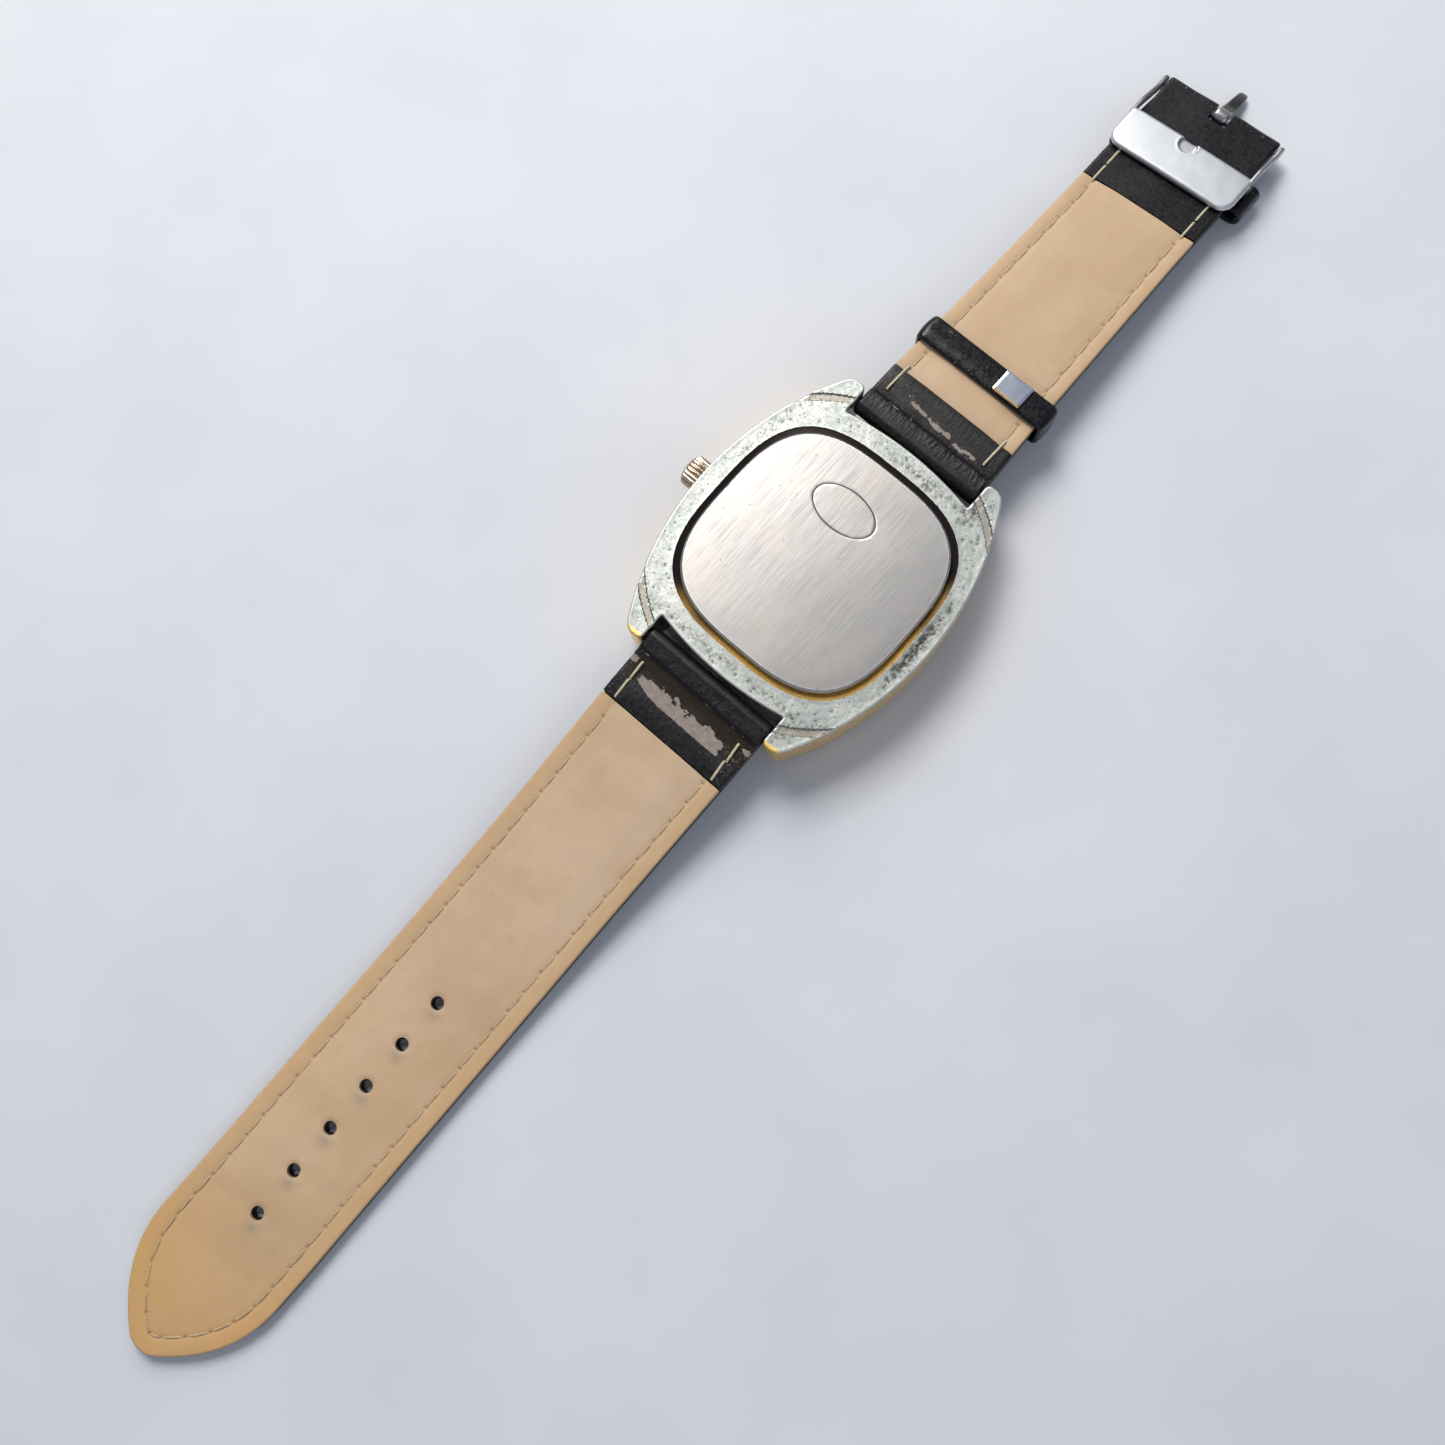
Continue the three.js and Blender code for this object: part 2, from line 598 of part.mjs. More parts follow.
// ---------- movement ----------
const BATTERY = { r: 3.95, x: 5.25, y: -4.45, z0: 4.75, z1: 6.85 };
const COIL = { x0: -2, x1: 5.4, y: 8.2, z: 5.6, r: 1.1 };
const CAN = { x: -5.4, y: -7.1, r: 0.75, length: 4.8, z: 6.05 };
const STATOR_Z = [5.45, 5.75];
const CLUTCH = { x0: -7.7, x1: -6.4, r: 0.85 };
const LEVER = { x: -10.3, y: 2.6, z0: 5.45, z1: 5.75 };
const GROOVE = { x: -10.3, half: 0.45, r: 0.28 };
const STEM_SLOT = 1.1; // half the width of the stem's slot in the main plate

function mainPlate() {
  const plate = disc(PLATE_R, PLATE_LOW, PLATE_HIGH, 0, 0, 48);
  const posts = [];
  for (const centre of [MINUTE, SETTING]) posts.push(arbor(PIVOT_R, 3.72, PLATE_LOW + 0.1, centre));
  for (const [x, y] of BRIDGE_FEET) posts.push(arbor(0.55, PLATE_HIGH - 0.1, BRIDGE_LOW - 0.02, [x, y]));
  const pivots = [INTERMEDIATE, ROTOR, THIRD].map((centre) => arbor(PIVOT_R + 0.04, 4.5, 6, centre));
  const body = cut(
    plate,
    disc(MINUTE_TUBE_R + SLIP, 0, 9, 0, 0, 20),
    disc(BATTERY.r + FIT, BATTERY.z0 - 0.05, 9, BATTERY.x, BATTERY.y, 32),
    box(COIL.x0 - 0.2, COIL.x1 + 0.2, COIL.y - COIL.r - 0.2, COIL.y + COIL.r + 0.2, 0, 9),
    box(-PLATE_R - 1, -5.4, -STEM_SLOT, STEM_SLOT, 3.5, 6),
    box(SETTING[0] - 1, SETTING[0] + 0.4, -1.05, 1.05, 3.5, 4.36),
    ...pivots,
  );
  return join(body, ...posts, arbor(0.3, PLATE_HIGH - 0.1, LEVER.z1 + 0.25, [LEVER.x, LEVER.y]));
}

const BRIDGE_FEET = [
  [-4.6, 3.4],
  [4.4, 2.6],
  [-5.6, -3.4],
];

// The train bridge: an arched plate over the wheels, with a bearing hole for each pivot.
function trainBridge() {
  const outline = polygon([
    [-5.6, 2.6],
    [-4.2, 4.5],
    [-0.6, 6.1],
    [2.4, 6.3],
    [3.4, 3.8],
    [5.3, 3.2],
    [5, 1.8],
    [1.6, 0.2],
    [0.8, -4.2],
    [-3.2, -5.2],
    [-6.4, -4.2],
    [-6.5, -2.6],
    [-4.4, -1.2],
  ]);
  const bearings = [CENTRE, INTERMEDIATE, ROTOR, THIRD].map((centre) => arbor(PIVOT_R + 0.04, 6, 7, centre));
  return cut(extruded(outline, BRIDGE_LOW, BRIDGE_HIGH), ...bearings);
}

// The stator: a flat U of soft iron from one end of the coil's core, round the rotor, to the other.
function statorShape() {
  const [low, high] = STATOR_Z;
  const outline = polygon([
    [-3.5, 4.4],
    [6.9, 4.4],
    [6.9, 8.9],
    [5.8, 8.9],
    [5.8, 6.4],
    [-2.4, 6.4],
    [-2.4, 8.9],
    [-3.5, 8.9],
  ]);
  return cut(extruded(outline, low, high), disc(0.95, low - 1, high + 1, ROTOR[0], ROTOR[1], 24));
}

// The coil's core: a bar through the winding, with ends that lie on the stator's arms.
function coreShape() {
  const profile = polygon([
    [5.8, -3.4],
    [6.1, -3.4],
    [6.1, -2.3],
    [5.85, -2.15],
    [5.85, 5.55],
    [6.1, 5.7],
    [6.1, 6.8],
    [5.8, 6.8],
    [5.8, 5.75],
    [5.35, 5.5],
    [5.35, -2.1],
    [5.8, -2.35],
  ]);
  return extrudedAlong(ALONG_Y, profile, COIL.y - 0.5, COIL.y + 0.5);
}

function windingShape() {
  const wound = rod(COIL.r, COIL.x0 + 0.05, COIL.x1 - 0.05, COIL.y, COIL.z, 20);
  const flange = (x) => rod(COIL.r + 0.08, x, x + 0.3, COIL.y, COIL.z, 20);
  const core = box(-9, 9, COIL.y - 0.55, COIL.y + 0.55, 5.3, 5.9);
  return cut(join(wound, flange(COIL.x0), flange(COIL.x1 - 0.3)), core);
}

// The circuit board covers the side of the movement that the battery and the bridge leave free.
function boardShape() {
  const field = extruded(circle(PLATE_R - 0.6, 48), BOARD_Z, BOARD_Z + 0.2);
  return cut(
    field,
    disc(BATTERY.r + 0.5, 6, 8, BATTERY.x, BATTERY.y, 36),
    box(-20, 20, -1.4, 20, 6, 8),
    box(5, 20, -20, 20, 6, 8),
    disc(0.35, 6, 8, THIRD[0], THIRD[1], 12),
  );
}

// The battery clip: a spring strip over the battery, with a foot that stands on the main plate's rim.
function clipShape() {
  const profile = [
    [4.2, BATTERY.z1 + 0.08],
    [10.98, BATTERY.z1 + 0.08],
    [10.98, PLATE_HIGH + 0.05],
    [11.3, PLATE_HIGH + 0.05],
    [11.3, BATTERY.z1 + 0.28],
    [4.2, BATTERY.z1 + 0.28],
  ];
  const strip = extrudedAlong(ALONG_Y, polygon(profile.map(([u, z]) => [z, u])), -1.2, 1.2);
  return strip.rotate([0, 0, (Math.atan2(BATTERY.y, BATTERY.x) * 180) / Math.PI]);
}

// The holder fills the cushion-shaped room round the round movement, and is slotted for the stem.
function holderShape() {
  const z0 = DIAL_Z + DIAL_T + 0.08;
  return cut(
    cushion(CAVITY_HALF - 0.25, z0, SKIRT_Z - 0.15),
    disc(PLATE_R + 0.2, 0, 9, 0, 0, 48),
    box(-20, -8, -STEM_SLOT, STEM_SLOT, STEM_Z - 1, 9),
  );
}

// The stem: it carries the crown, is grooved for the setting lever, and drives the sliding pinion.
function stemShape() {
  const groove = cut(
    rod(STEM_R + 1, GROOVE.x - GROOVE.half, GROOVE.x + GROOVE.half, 0, STEM_Z),
    rod(GROOVE.r, -12, -9, 0, STEM_Z),
  );
  return cut(rod(STEM_R, -STEM_END, -5.5, 0, STEM_Z, 12), groove);
}

function clutchShape() {
  const teeth = gearOutline(MOTION.setting, (2 * CLUTCH.r) / (MOTION.setting + 1.6));
  const rim = teeth.map(([y, z]) => [y, z + STEM_Z]);
  const end = 0.4;
  return cut(
    join(
      extrudedAlong(ALONG_X, polygon(rim), CLUTCH.x0, CLUTCH.x0 + end),
      extrudedAlong(ALONG_X, polygon(rim), CLUTCH.x1 - end, CLUTCH.x1),
      rod(0.66, CLUTCH.x0 + 0.1, CLUTCH.x1 - 0.1, 0, STEM_Z),
    ),
    rod(STEM_R + 0.04, -9, -5, 0, STEM_Z),
  );
}

// The setting lever turns on a post, and its pin rides in the stem's groove.
function leverShape() {
  const arm = polygon([
    [LEVER.x - 0.45, -0.35],
    [LEVER.x + 0.45, -0.35],
    [LEVER.x + 0.7, LEVER.y + 0.5],
    [LEVER.x + 0.2, LEVER.y + 0.8],
    [LEVER.x - 0.6, LEVER.y + 0.7],
  ]);
  return cut(
    join(
      extruded(arm, LEVER.z0, LEVER.z1),
      arbor(0.2, STEM_Z + 0.36, LEVER.z0 + 0.1, [GROOVE.x, 0]),
    ),
    arbor(0.3 + SLIP, 0, 9, [LEVER.x, LEVER.y]),
  );
}

add("movement_holder", holderShape(), FINISH.plastic());
add("main_plate", mainPlate(), FINISH.steel());
add("train_bridge", trainBridge(), FINISH.brass());
add("stator", statorShape(), FINISH.steel());
add("coil_core", coreShape(), FINISH.steel());
add("coil_winding", windingShape(), FINISH.copper());
add("circuit_board", boardShape(), FINISH.board());
add("quartz_can", rod(CAN.r, CAN.x, CAN.x + CAN.length, CAN.y, CAN.z, 20), FINISH.bright());
add("control_chip", box(-3.9, -2.2, -8.6, -6.9, BOARD_Z + 0.22, BOARD_Z + 0.6), FINISH.black());
add("battery", disc(BATTERY.r, BATTERY.z0, BATTERY.z1, BATTERY.x, BATTERY.y, 32), FINISH.bright());
add("battery_clip", clipShape(), FINISH.bright());
add("stem", stemShape(), FINISH.bright());
add("sliding_pinion", clutchShape(), FINISH.bright());
add("setting_lever", leverShape(), FINISH.bright());

// ---------- leather strap ----------
const ramp = (v, from, to) => Math.min(Math.max((v - from) / (to - from), 0), 1);
const mix = (a, b, t) => a + (b - a) * t;

// Underside and thickness of each strap, s being the distance from the middle of the case.
const BAR_LOW = BAR_Z - LOOP_R;
const longLow = (s) => BAR_LOW * (1 - ramp(s, BAR_Y, LONG_REST)) ** 2;
const longThick = (s) => mix(mix(2 * LOOP_R, 2.25, ramp(s, BAR_Y, 60)), 2, ramp(s, 60, LONG_TIP));
// The short strap is straight, and rests on the fixed keeper, whose band is under it.
const SHORT_SLOPE = (BAR_LOW - FIXED_KEEPER.drop) / (FIXED_KEEPER_Y - BAR_Y);
const shortLow = (s) => BAR_LOW - SHORT_SLOPE * (s - BAR_Y);
const BUCKLE_BAR_Z = shortLow(BUCKLE_BAR_Y) + BUCKLE_LOOP_R;
const shortThick = (s) =>
  mix(mix(2 * LOOP_R, 2.3, ramp(s, BAR_Y, 45)), 2 * BUCKLE_LOOP_R, ramp(s, BUCKLE_BAR_Y - 9.2, BUCKLE_BAR_Y));

const stations = (from, to, count) => Array.from({ length: count + 1 }, (_, i) => mix(from, to, i / count));

// Half a turn of leather round a bar, from below to above, away from the strap.
function loopArc(y, z, r, towards, steps = 8) {
  const points = [];
  for (let i = 1; i < steps; i++) {
    const a = -Math.PI / 2 + (towards * Math.PI * i) / steps;
    points.push([y + r * Math.cos(a), z + r * Math.sin(a)]);
  }
  return points;
}

// Side view of the long strap's face leather: under the lining, round the bar, and back to the fold.
function longFaceProfile() {
  const below = stations(LONG_TIP + 1, BAR_Y, 14).map((s) => [s, longLow(s)]);
  const above = stations(BAR_Y, LONG_FOLD, 2).map((s) => [s, longLow(s) + longThick(s)]);
  const seam = stations(LONG_FOLD, LONG_TIP + 1, 13).map((s) => [
    s,
    longLow(s) + longThick(s) - LINING_T - LAYER_GAP,
  ]);
  return [...below, ...loopArc(BAR_Y, BAR_Z, LOOP_R, -1), ...above, ...seam];
}

function longLiningProfile() {
  const top = stations(LONG_FOLD + FIT, LONG_TIP + 1, 13).map((s) => [s, longLow(s) + longThick(s)]);
  const bottom = top.map(([s, z]) => [s, z - LINING_T]).reverse();
  return [...top, ...bottom];
}

function shortFaceProfile() {
  const below = stations(BUCKLE_BAR_Y, BAR_Y, 4).map((s) => [s, shortLow(s)]);
  const above = [BAR_Y, SHORT_FOLD].map((s) => [s, shortLow(s) + shortThick(s)]);
  const seam = stations(SHORT_FOLD, SHORT_TURN, 4).map((s) => [
    s,
    shortLow(s) + shortThick(s) - LINING_T - LAYER_GAP,
  ]);
  const back = stations(SHORT_TURN, BUCKLE_BAR_Y, 3).map((s) => [s, shortLow(s) + shortThick(s)]);
  const round = loopArc(BUCKLE_BAR_Y, BUCKLE_BAR_Z, BUCKLE_LOOP_R, 1).reverse();
  return [...below, ...loopArc(BAR_Y, BAR_Z, LOOP_R, -1), ...above, ...seam, ...back, ...round];
}

function shortLiningProfile() {
  const top = stations(SHORT_FOLD + FIT, SHORT_TURN - FIT, 4).map((s) => [s, shortLow(s) + shortThick(s)]);
  const bottom = top.map(([s, z]) => [s, z - LINING_T]).reverse();
  return [...top, ...bottom];
}

// Plan of the long strap: it narrows a little, then closes to a pointed arch.
function longPlan() {
  const shape = new THREE.Shape();
  shape.moveTo(-STRAP_HALF, 15);
  shape.lineTo(STRAP_HALF, 15);
  shape.lineTo(STRAP_HALF, 26);
  shape.lineTo(LONG_HALF, 50);
  shape.lineTo(LONG_HALF, TIP_START);
  shape.quadraticCurveTo(LONG_HALF, TIP_START + 8.2, 1.6, LONG_TIP - 0.3);
  shape.quadraticCurveTo(0, LONG_TIP + 0.3, -1.6, LONG_TIP - 0.3);
  shape.quadraticCurveTo(-LONG_HALF, TIP_START + 8.2, -LONG_HALF, TIP_START);
  shape.lineTo(-LONG_HALF, 50);
  shape.lineTo(-STRAP_HALF, 26);
  return shape;
}

// Half the width of the short strap: it tapers, and its end clears the arms of the buckle.
const SHORT_SIDE = [
  [STRAP_HALF, 15],
  [STRAP_HALF, 24],
  [STRAP_HALF - 0.42 * SHORT_TAPER, 34],
  [STRAP_HALF - 0.63 * SHORT_TAPER, 44],
  [SHORT_HALF, 62],
  [SHORT_HALF, BUCKLE_BAR_Y - 6.2],
  [SHORT_HALF - 0.2, BUCKLE_BAR_Y - 3.2],
  [SHORT_HALF - 0.2, BUCKLE_BAR_Y + 5],
];

function shortPlan() {
  return polygon([...SHORT_SIDE, ...SHORT_SIDE.map(([x, s]) => [-x, s]).reverse()]);
}

function planned(shape) {
  const geometry = new THREE.ExtrudeGeometry(shape, { depth: 20, bevelEnabled: false, curveSegments: 8 });
  return solid(geometry.translate(0, 0, -5));
}
const across = (profile) => extrudedAlong(ALONG_X, polygon(profile), -WIDE, WIDE);

// The long strap runs along -Y, and sways to one side as it goes.
function swayed(manifold) {
  return bent(manifold.mirror([0, 1, 0]), (v) => {
    v.x += LONG_SWAY * ramp(-v.y, BAR_Y, 105) ** 2;
  });
}

// The short strap shears towards the buckle, so that what crosses it lies askew there.
const skewed = (manifold) =>
  bent(manifold, (v) => {
    v.y += v.x * Math.tan(radians(SKEW_DEG)) * ramp(v.y, SHORT_FOLD, SHORT_TURN);
  });

function straps() {
  const holes = [];
  for (let i = 0; i < HOLE_COUNT; i++) {
    const s = FIRST_HOLE + i * HOLE_PITCH;
    holes.push(disc(HOLE_R, -3, 9, 0, s, 12));
  }
  const barHole = (r, y, z) => rod(r + BAR_PLAY, -WIDE, WIDE, y, z, 12);
  const long = planned(longPlan());
  add(
    "long_strap_face",
    swayed(cut(across(longFaceProfile()).intersect(long), barHole(BAR_R, BAR_Y, BAR_Z), ...holes)),
    FINISH.leather(),
  );
  const lining = cut(across(longLiningProfile()).intersect(long), ...holes);
  add("long_strap_lining", swayed(lining), FINISH.lining());

  const short = planned(shortPlan());
  const slotHalf = TONGUE.width / 2 + 0.3;
  const tongueSlot = box(-slotHalf, slotHalf, BUCKLE_BAR_Y - 2.8, BUCKLE_BAR_Y + 5, -2, 9);
  const k = FIXED_KEEPER;
  const mid = shortLow(FIXED_KEEPER_Y) + shortThick(FIXED_KEEPER_Y) / 2;
  const pockets = [-1, 1].map((side) => {
    const x = [side * (SHORT_HALF + 1), side * (SHORT_HALF - k.tab - 0.1)].sort((a, b) => a - b);
    const half = k.width / 2 + 0.1;
    const high = k.tabT / 2 + 0.1;
    return box(x[0], x[1], FIXED_KEEPER_Y - half, FIXED_KEEPER_Y + half, mid - high, mid + high);
  });
  const face = cut(
    across(shortFaceProfile()).intersect(short),
    barHole(BAR_R, BAR_Y, BAR_Z),
    barHole(BUCKLE_BAR_R, BUCKLE_BAR_Y, BUCKLE_BAR_Z),
    tongueSlot,
    ...pockets,
  );
  add("short_strap_face", skewed(face), FINISH.leather());
  add("short_strap_lining", skewed(across(shortLiningProfile()).intersect(short)), FINISH.lining());
}

// A rounded rectangle in (z, x), with its corners cut at 45 degrees.
function roundedRect(z0, z1, x0, x1, r) {
  return [
    [z0 + r, x0],
    [z1 - r, x0],
    [z1, x0 + r],
    [z1, x1 - r],
    [z1 - r, x1],
    [z0 + r, x1],
    [z0, x1 - r],
    [z0, x0 + r],
  ];
}

// The free keeper is a closed loop round the strap, tilted with the strap's slope.
function keepers() {
  const k = FREE_KEEPER;
  const top = shortLow(k.middle) + shortThick(k.middle) + 0.12;
  const low = top - k.height;
  const wall = STRAP_HALF - 0.42 * SHORT_TAPER + k.play + 0.05;
  const side = wall + KEEPER_T;
  const outer = roundedRect(low - k.band, top + k.band, k.shift - side, k.shift + side, 1);
  const inner = roundedRect(low, top, k.shift - wall, k.shift + wall, 0.1);
  const half = k.width / 2;
  const ring = cut(
    extrudedAlong(ALONG_Y, polygon(outer), k.middle - half, k.middle + half),
    extrudedAlong(ALONG_Y, polygon(inner), k.middle - half - 1, k.middle + half + 1),
  );
  const slope = (v) => {
    v.z -= SHORT_SLOPE * (v.y - k.middle);
  };
  add("free_keeper", bent(ring, slope), FINISH.leather());
  // The clip: a folded metal staple over the keeper's band.
  const clip = { x0: 2.1, x1: 6.4, half: 1.6, t: 0.25 };
  const plate = top + k.band + 0.05;
  const staple = box(clip.x0, clip.x1, k.middle - clip.half, k.middle + clip.half, plate, plate + clip.t);
  add("keeper_clip", bent(staple, slope), FINISH.bright());

  const f = FIXED_KEEPER;
  const mid = shortLow(FIXED_KEEPER_Y) + shortThick(FIXED_KEEPER_Y) / 2;
  const left = SHORT_HALF + f.left;
  const right = SHORT_HALF + f.right;
  const bottom = 0.05;
  const bandT = 0.85;
  const walls = 0.9;
  const high = mid + f.tabT / 2;
  const ringOuter = roundedRect(bottom, high, -left, right, 0.3);
  const ringInner = polygon(roundedRect(bottom + bandT, high + 2, -left + walls, right - walls, 0.4));
  const y0 = FIXED_KEEPER_Y - f.width / 2;
  const y1 = FIXED_KEEPER_Y + f.width / 2;
  const open = cut(
    extrudedAlong(ALONG_Y, polygon(ringOuter), y0, y1),
    extrudedAlong(ALONG_Y, ringInner, y0 - 1, y1 + 1),
  );
  const tabs = join(
    box(-left + 0.4, -SHORT_HALF + f.tab, y0, y1, mid - f.tabT / 2, high),
    box(SHORT_HALF - f.tab, right - 0.4, y0, y1, mid - f.tabT / 2, high),
  );
  const flat = cut(join(open, tabs), box(-WIDE, WIDE, y0 - 1, y1 + 1, high, 9));
  add("fixed_keeper", skewed(flat), FINISH.leather());
}

// ---------- buckle ----------
// The frame is folded back over the lining: ears on the bar, thin arms, and a wide plate.
function buckleFrame() {
  const lift = shortLow(PLATE_NEAR) + shortThick(PLATE_NEAR) + 0.35;
  const earR = 1.05;
  const top = lift + PLATE.thickness;
  const far = lift + SHORT_SLOPE * (PLATE_NEAR - PLATE_FAR) * 0.5;
  const profile = [
    [PLATE_FAR, far],
    [PLATE_NEAR, lift],
    [PLATE_NEAR + 1, lift - 0.1],
    [BUCKLE_BAR_Y - 1, BUCKLE_BAR_Z - 0.1],
    ...loopArc(BUCKLE_BAR_Y, BUCKLE_BAR_Z, earR, 1),
    [BUCKLE_BAR_Y - 0.2, BUCKLE_BAR_Z + earR],
    [PLATE_NEAR + 1.2, top - 0.1],
    [PLATE_NEAR, top],
    [PLATE_FAR, far + PLATE.thickness],
  ];
  const plan = new THREE.Shape();
  const w = BUCKLE_OUTER;
  const c = PLATE.corner;
  plan.moveTo(-w, BUCKLE_BAR_Y + 5);
  plan.lineTo(-w, PLATE_FAR + c);
  plan.quadraticCurveTo(-w, PLATE_FAR, -w + c, PLATE_FAR);
  plan.lineTo(w - c, PLATE_FAR);
  plan.quadraticCurveTo(w, PLATE_FAR, w, PLATE_FAR + c);
  plan.lineTo(w, BUCKLE_BAR_Y + 5);
  const solidFrame = across(profile).intersect(planned(plan));
  const frame = cut(
    solidFrame,
    box(-BUCKLE_INNER, BUCKLE_INNER, PLATE_NEAR, BUCKLE_BAR_Y + 5, -2, 12),
    rod(TIP_R + SLIP, -WIDE, WIDE, BUCKLE_BAR_Y, BUCKLE_BAR_Z, 12),
    disc(1.3, top - 0.45, top + 2, -0.4, PLATE_NEAR - 0.9, 20),
  );
  return skewed(frame);
}

// The tongue: a curl round the bar and a tapered finger that reaches past the strap's end.
function buckleTongue() {
  const r = BUCKLE_BAR_R + 0.15;
  const t = TONGUE.thickness;
  const y = BUCKLE_BAR_Y;
  const z = BUCKLE_BAR_Z;
  const curl = loopArc(y, z, r + 0.42, -1, 12);
  const profile = [
    [y, z - r - 0.42],
    ...curl,
    [y, z + r + 0.42],
    [y + 0.9, z + 0.75],
    [y + 2, z + t / 2],
    [y + TONGUE.length - 0.5, z + t / 2 - 0.1],
    [y + TONGUE.length, z],
    [y + TONGUE.length - 0.3, z - t / 2 + 0.1],
    [y + 2, z - t / 2],
    [y + 0.9, z - 0.75],
  ];
  const half = TONGUE.width / 2;
  const finger = extrudedAlong(ALONG_X, polygon(profile), -half, half);
  const bore = rod(r, -5, 5, y, z, 12);
  const drop = radians(TONGUE.drop);
  return bent(cut(finger, bore), (v) => {
    const dy = v.y - y;
    const dz = v.z - z;
    v.x *= mix(1, 0.8, ramp(dy, 1.5, TONGUE.length));
    v.y = y + dy * Math.cos(drop) + dz * Math.sin(drop) + v.x * Math.tan(radians(SKEW_DEG));
    v.z = z - dy * Math.sin(drop) + dz * Math.cos(drop);
  });
}

// ---------- spring bars ----------
// A spring bar: a hollow barrel, two shouldered tips, and the spring that pushes them apart.
function springBar(name, y, z, r, { barrelHalf, tipEnd }, place) {
  const bore = Math.min(r - 0.2, 0.5);
  const shoulder = { from: barrelHalf - 2.6, to: barrelHalf - 0.4, r: bore - SLIP };
  const barrel = cut(
    rod(r, -barrelHalf, barrelHalf, y, z, 12),
    rod(bore, -barrelHalf + 0.3, barrelHalf - 0.3, y, z, 8),
    rod(TIP_R + 0.04, -barrelHalf - 1, barrelHalf + 1, y, z, 8),
  );
  add(name + "_barrel", place(barrel), FINISH.bright());
  for (const [side, word] of [
    [-1, "left"],
    [1, "right"],
  ]) {
    const span = (a, b) => [side * a, side * b].sort((p, q) => p - q);
    const inner = span(shoulder.from, shoulder.to);
    const outer = span(shoulder.to - 0.1, tipEnd);
    const tip = join(rod(shoulder.r, ...inner, y, z, 8), rod(TIP_R, ...outer, y, z, 8));
    add(name + "_tip_" + word, place(tip), FINISH.bright());
  }
  add(name + "_spring", place(coilSpring(shoulder.from - 0.05, bore - SLIP, y, z)), FINISH.bright());
}

// A helix of wire along X, from -half to half.
class Helix extends THREE.Curve {
  constructor(half, r, turns, y, z) {
    super();
    Object.assign(this, { half, r, turns, y, z });
  }
  getPoint(t, target = new THREE.Vector3()) {
    const a = 2 * Math.PI * this.turns * t;
    const x = this.half * (2 * t - 1);
    return target.set(x, this.y + this.r * Math.cos(a), this.z + this.r * Math.sin(a));
  }
}

function coilSpring(half, outside, y, z) {
  const wire = 0.07;
  const turns = 5;
  const path = new Helix(half - wire, outside - wire, turns, y, z);
  const section = circle(wire, 3);
  const options = { steps: turns * 6, extrudePath: path, bevelEnabled: false };
  return solid(new THREE.ExtrudeGeometry(section, options));
}

straps();
keepers();
add("buckle_frame", buckleFrame(), FINISH.bright());
add("buckle_tongue", buckleTongue(), FINISH.bright());
const asIs = (manifold) => manifold;
const lugBar = { barrelHalf: LUG_WIDTH / 2 - 0.6, tipEnd: LUG_WIDTH / 2 + 0.95 };
const buckleBar = { barrelHalf: BUCKLE_INNER - 0.2, tipEnd: BUCKLE_OUTER - 0.1 };
springBar("long_lug_bar", -BAR_Y, BAR_Z, BAR_R, lugBar, asIs);
springBar("short_lug_bar", BAR_Y, BAR_Z, BAR_R, lugBar, asIs);
springBar("buckle_bar", BUCKLE_BAR_Y, BUCKLE_BAR_Z, BUCKLE_BAR_R, buckleBar, skewed);

export default watch;
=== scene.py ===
"""Looks of the face-down wristwatch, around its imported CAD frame.

Shapes are made in millimetres in the frame's own axes and scaled to metres when a piece is made.
"""

import json
import math
import random

import bmesh
import bpy
import numpy as np
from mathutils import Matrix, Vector, noise
from mathutils.geometry import delaunay_2d_cdt


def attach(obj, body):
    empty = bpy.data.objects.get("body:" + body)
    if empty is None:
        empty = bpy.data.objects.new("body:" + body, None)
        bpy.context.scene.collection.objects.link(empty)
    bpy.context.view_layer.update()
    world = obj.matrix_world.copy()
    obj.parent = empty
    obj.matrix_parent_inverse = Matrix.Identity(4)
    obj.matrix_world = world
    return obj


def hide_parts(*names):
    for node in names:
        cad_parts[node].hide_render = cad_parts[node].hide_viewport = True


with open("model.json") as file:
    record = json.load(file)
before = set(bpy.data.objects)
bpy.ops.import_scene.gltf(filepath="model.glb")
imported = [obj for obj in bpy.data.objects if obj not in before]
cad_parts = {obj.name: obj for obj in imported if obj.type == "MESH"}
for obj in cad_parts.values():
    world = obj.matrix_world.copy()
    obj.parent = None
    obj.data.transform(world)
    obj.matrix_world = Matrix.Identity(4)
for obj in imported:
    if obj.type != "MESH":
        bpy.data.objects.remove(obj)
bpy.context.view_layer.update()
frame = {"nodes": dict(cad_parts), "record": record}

MM = 0.001
SHARP = math.radians(38)
rng = random.Random(20)

# ---------- sizes, in mm ----------
SQUIRCLE = 3.1  # exponent of the cushion outline
FINE = 400  # points round the cushion outlines of the case and the cover
CASE_TOP = 8.8
CASE_HALF = 18.45
SIDE_R = 42.0
LUG_END = 21.9
LUG_INNER = 10.0
SLOT_LUG = 17.65
SLOT_MID = 18.75
RING_IN = (21.38, 21.46)  # radii between which the turned step across the lugs starts
RING_OUT = (22.34, 22.42)  # and ends
RING_DEPTH = 0.25
GILT_FROM = (21.1, 21.5)  # from here on the lugs' ends are gilt
LUG_TIP_Z = 3.0
FLANK_Z = 1.9
BEZEL_Z = 0.5
BEZEL_HALF = 14.3
CAVITY = 13.7
LEDGE_Z = 7.9
OPENING = 15.0
CHAMFER = 0.85
COVER_HALF = 14.95
COVER_Z = 9.3
CRYSTAL_HALF = 13.6
CRYSTAL_T = 1.55
DIAL_OPENING = 12.9
CROWN_Z = 4.8
CROWN_R = 2.2
CROWN_IN = 18.75
CROWN_OUT = 21.6
BAR_Y = 20.3
BAR_Z = 6.9
BAR_R = 0.95  # bore of the leather loop
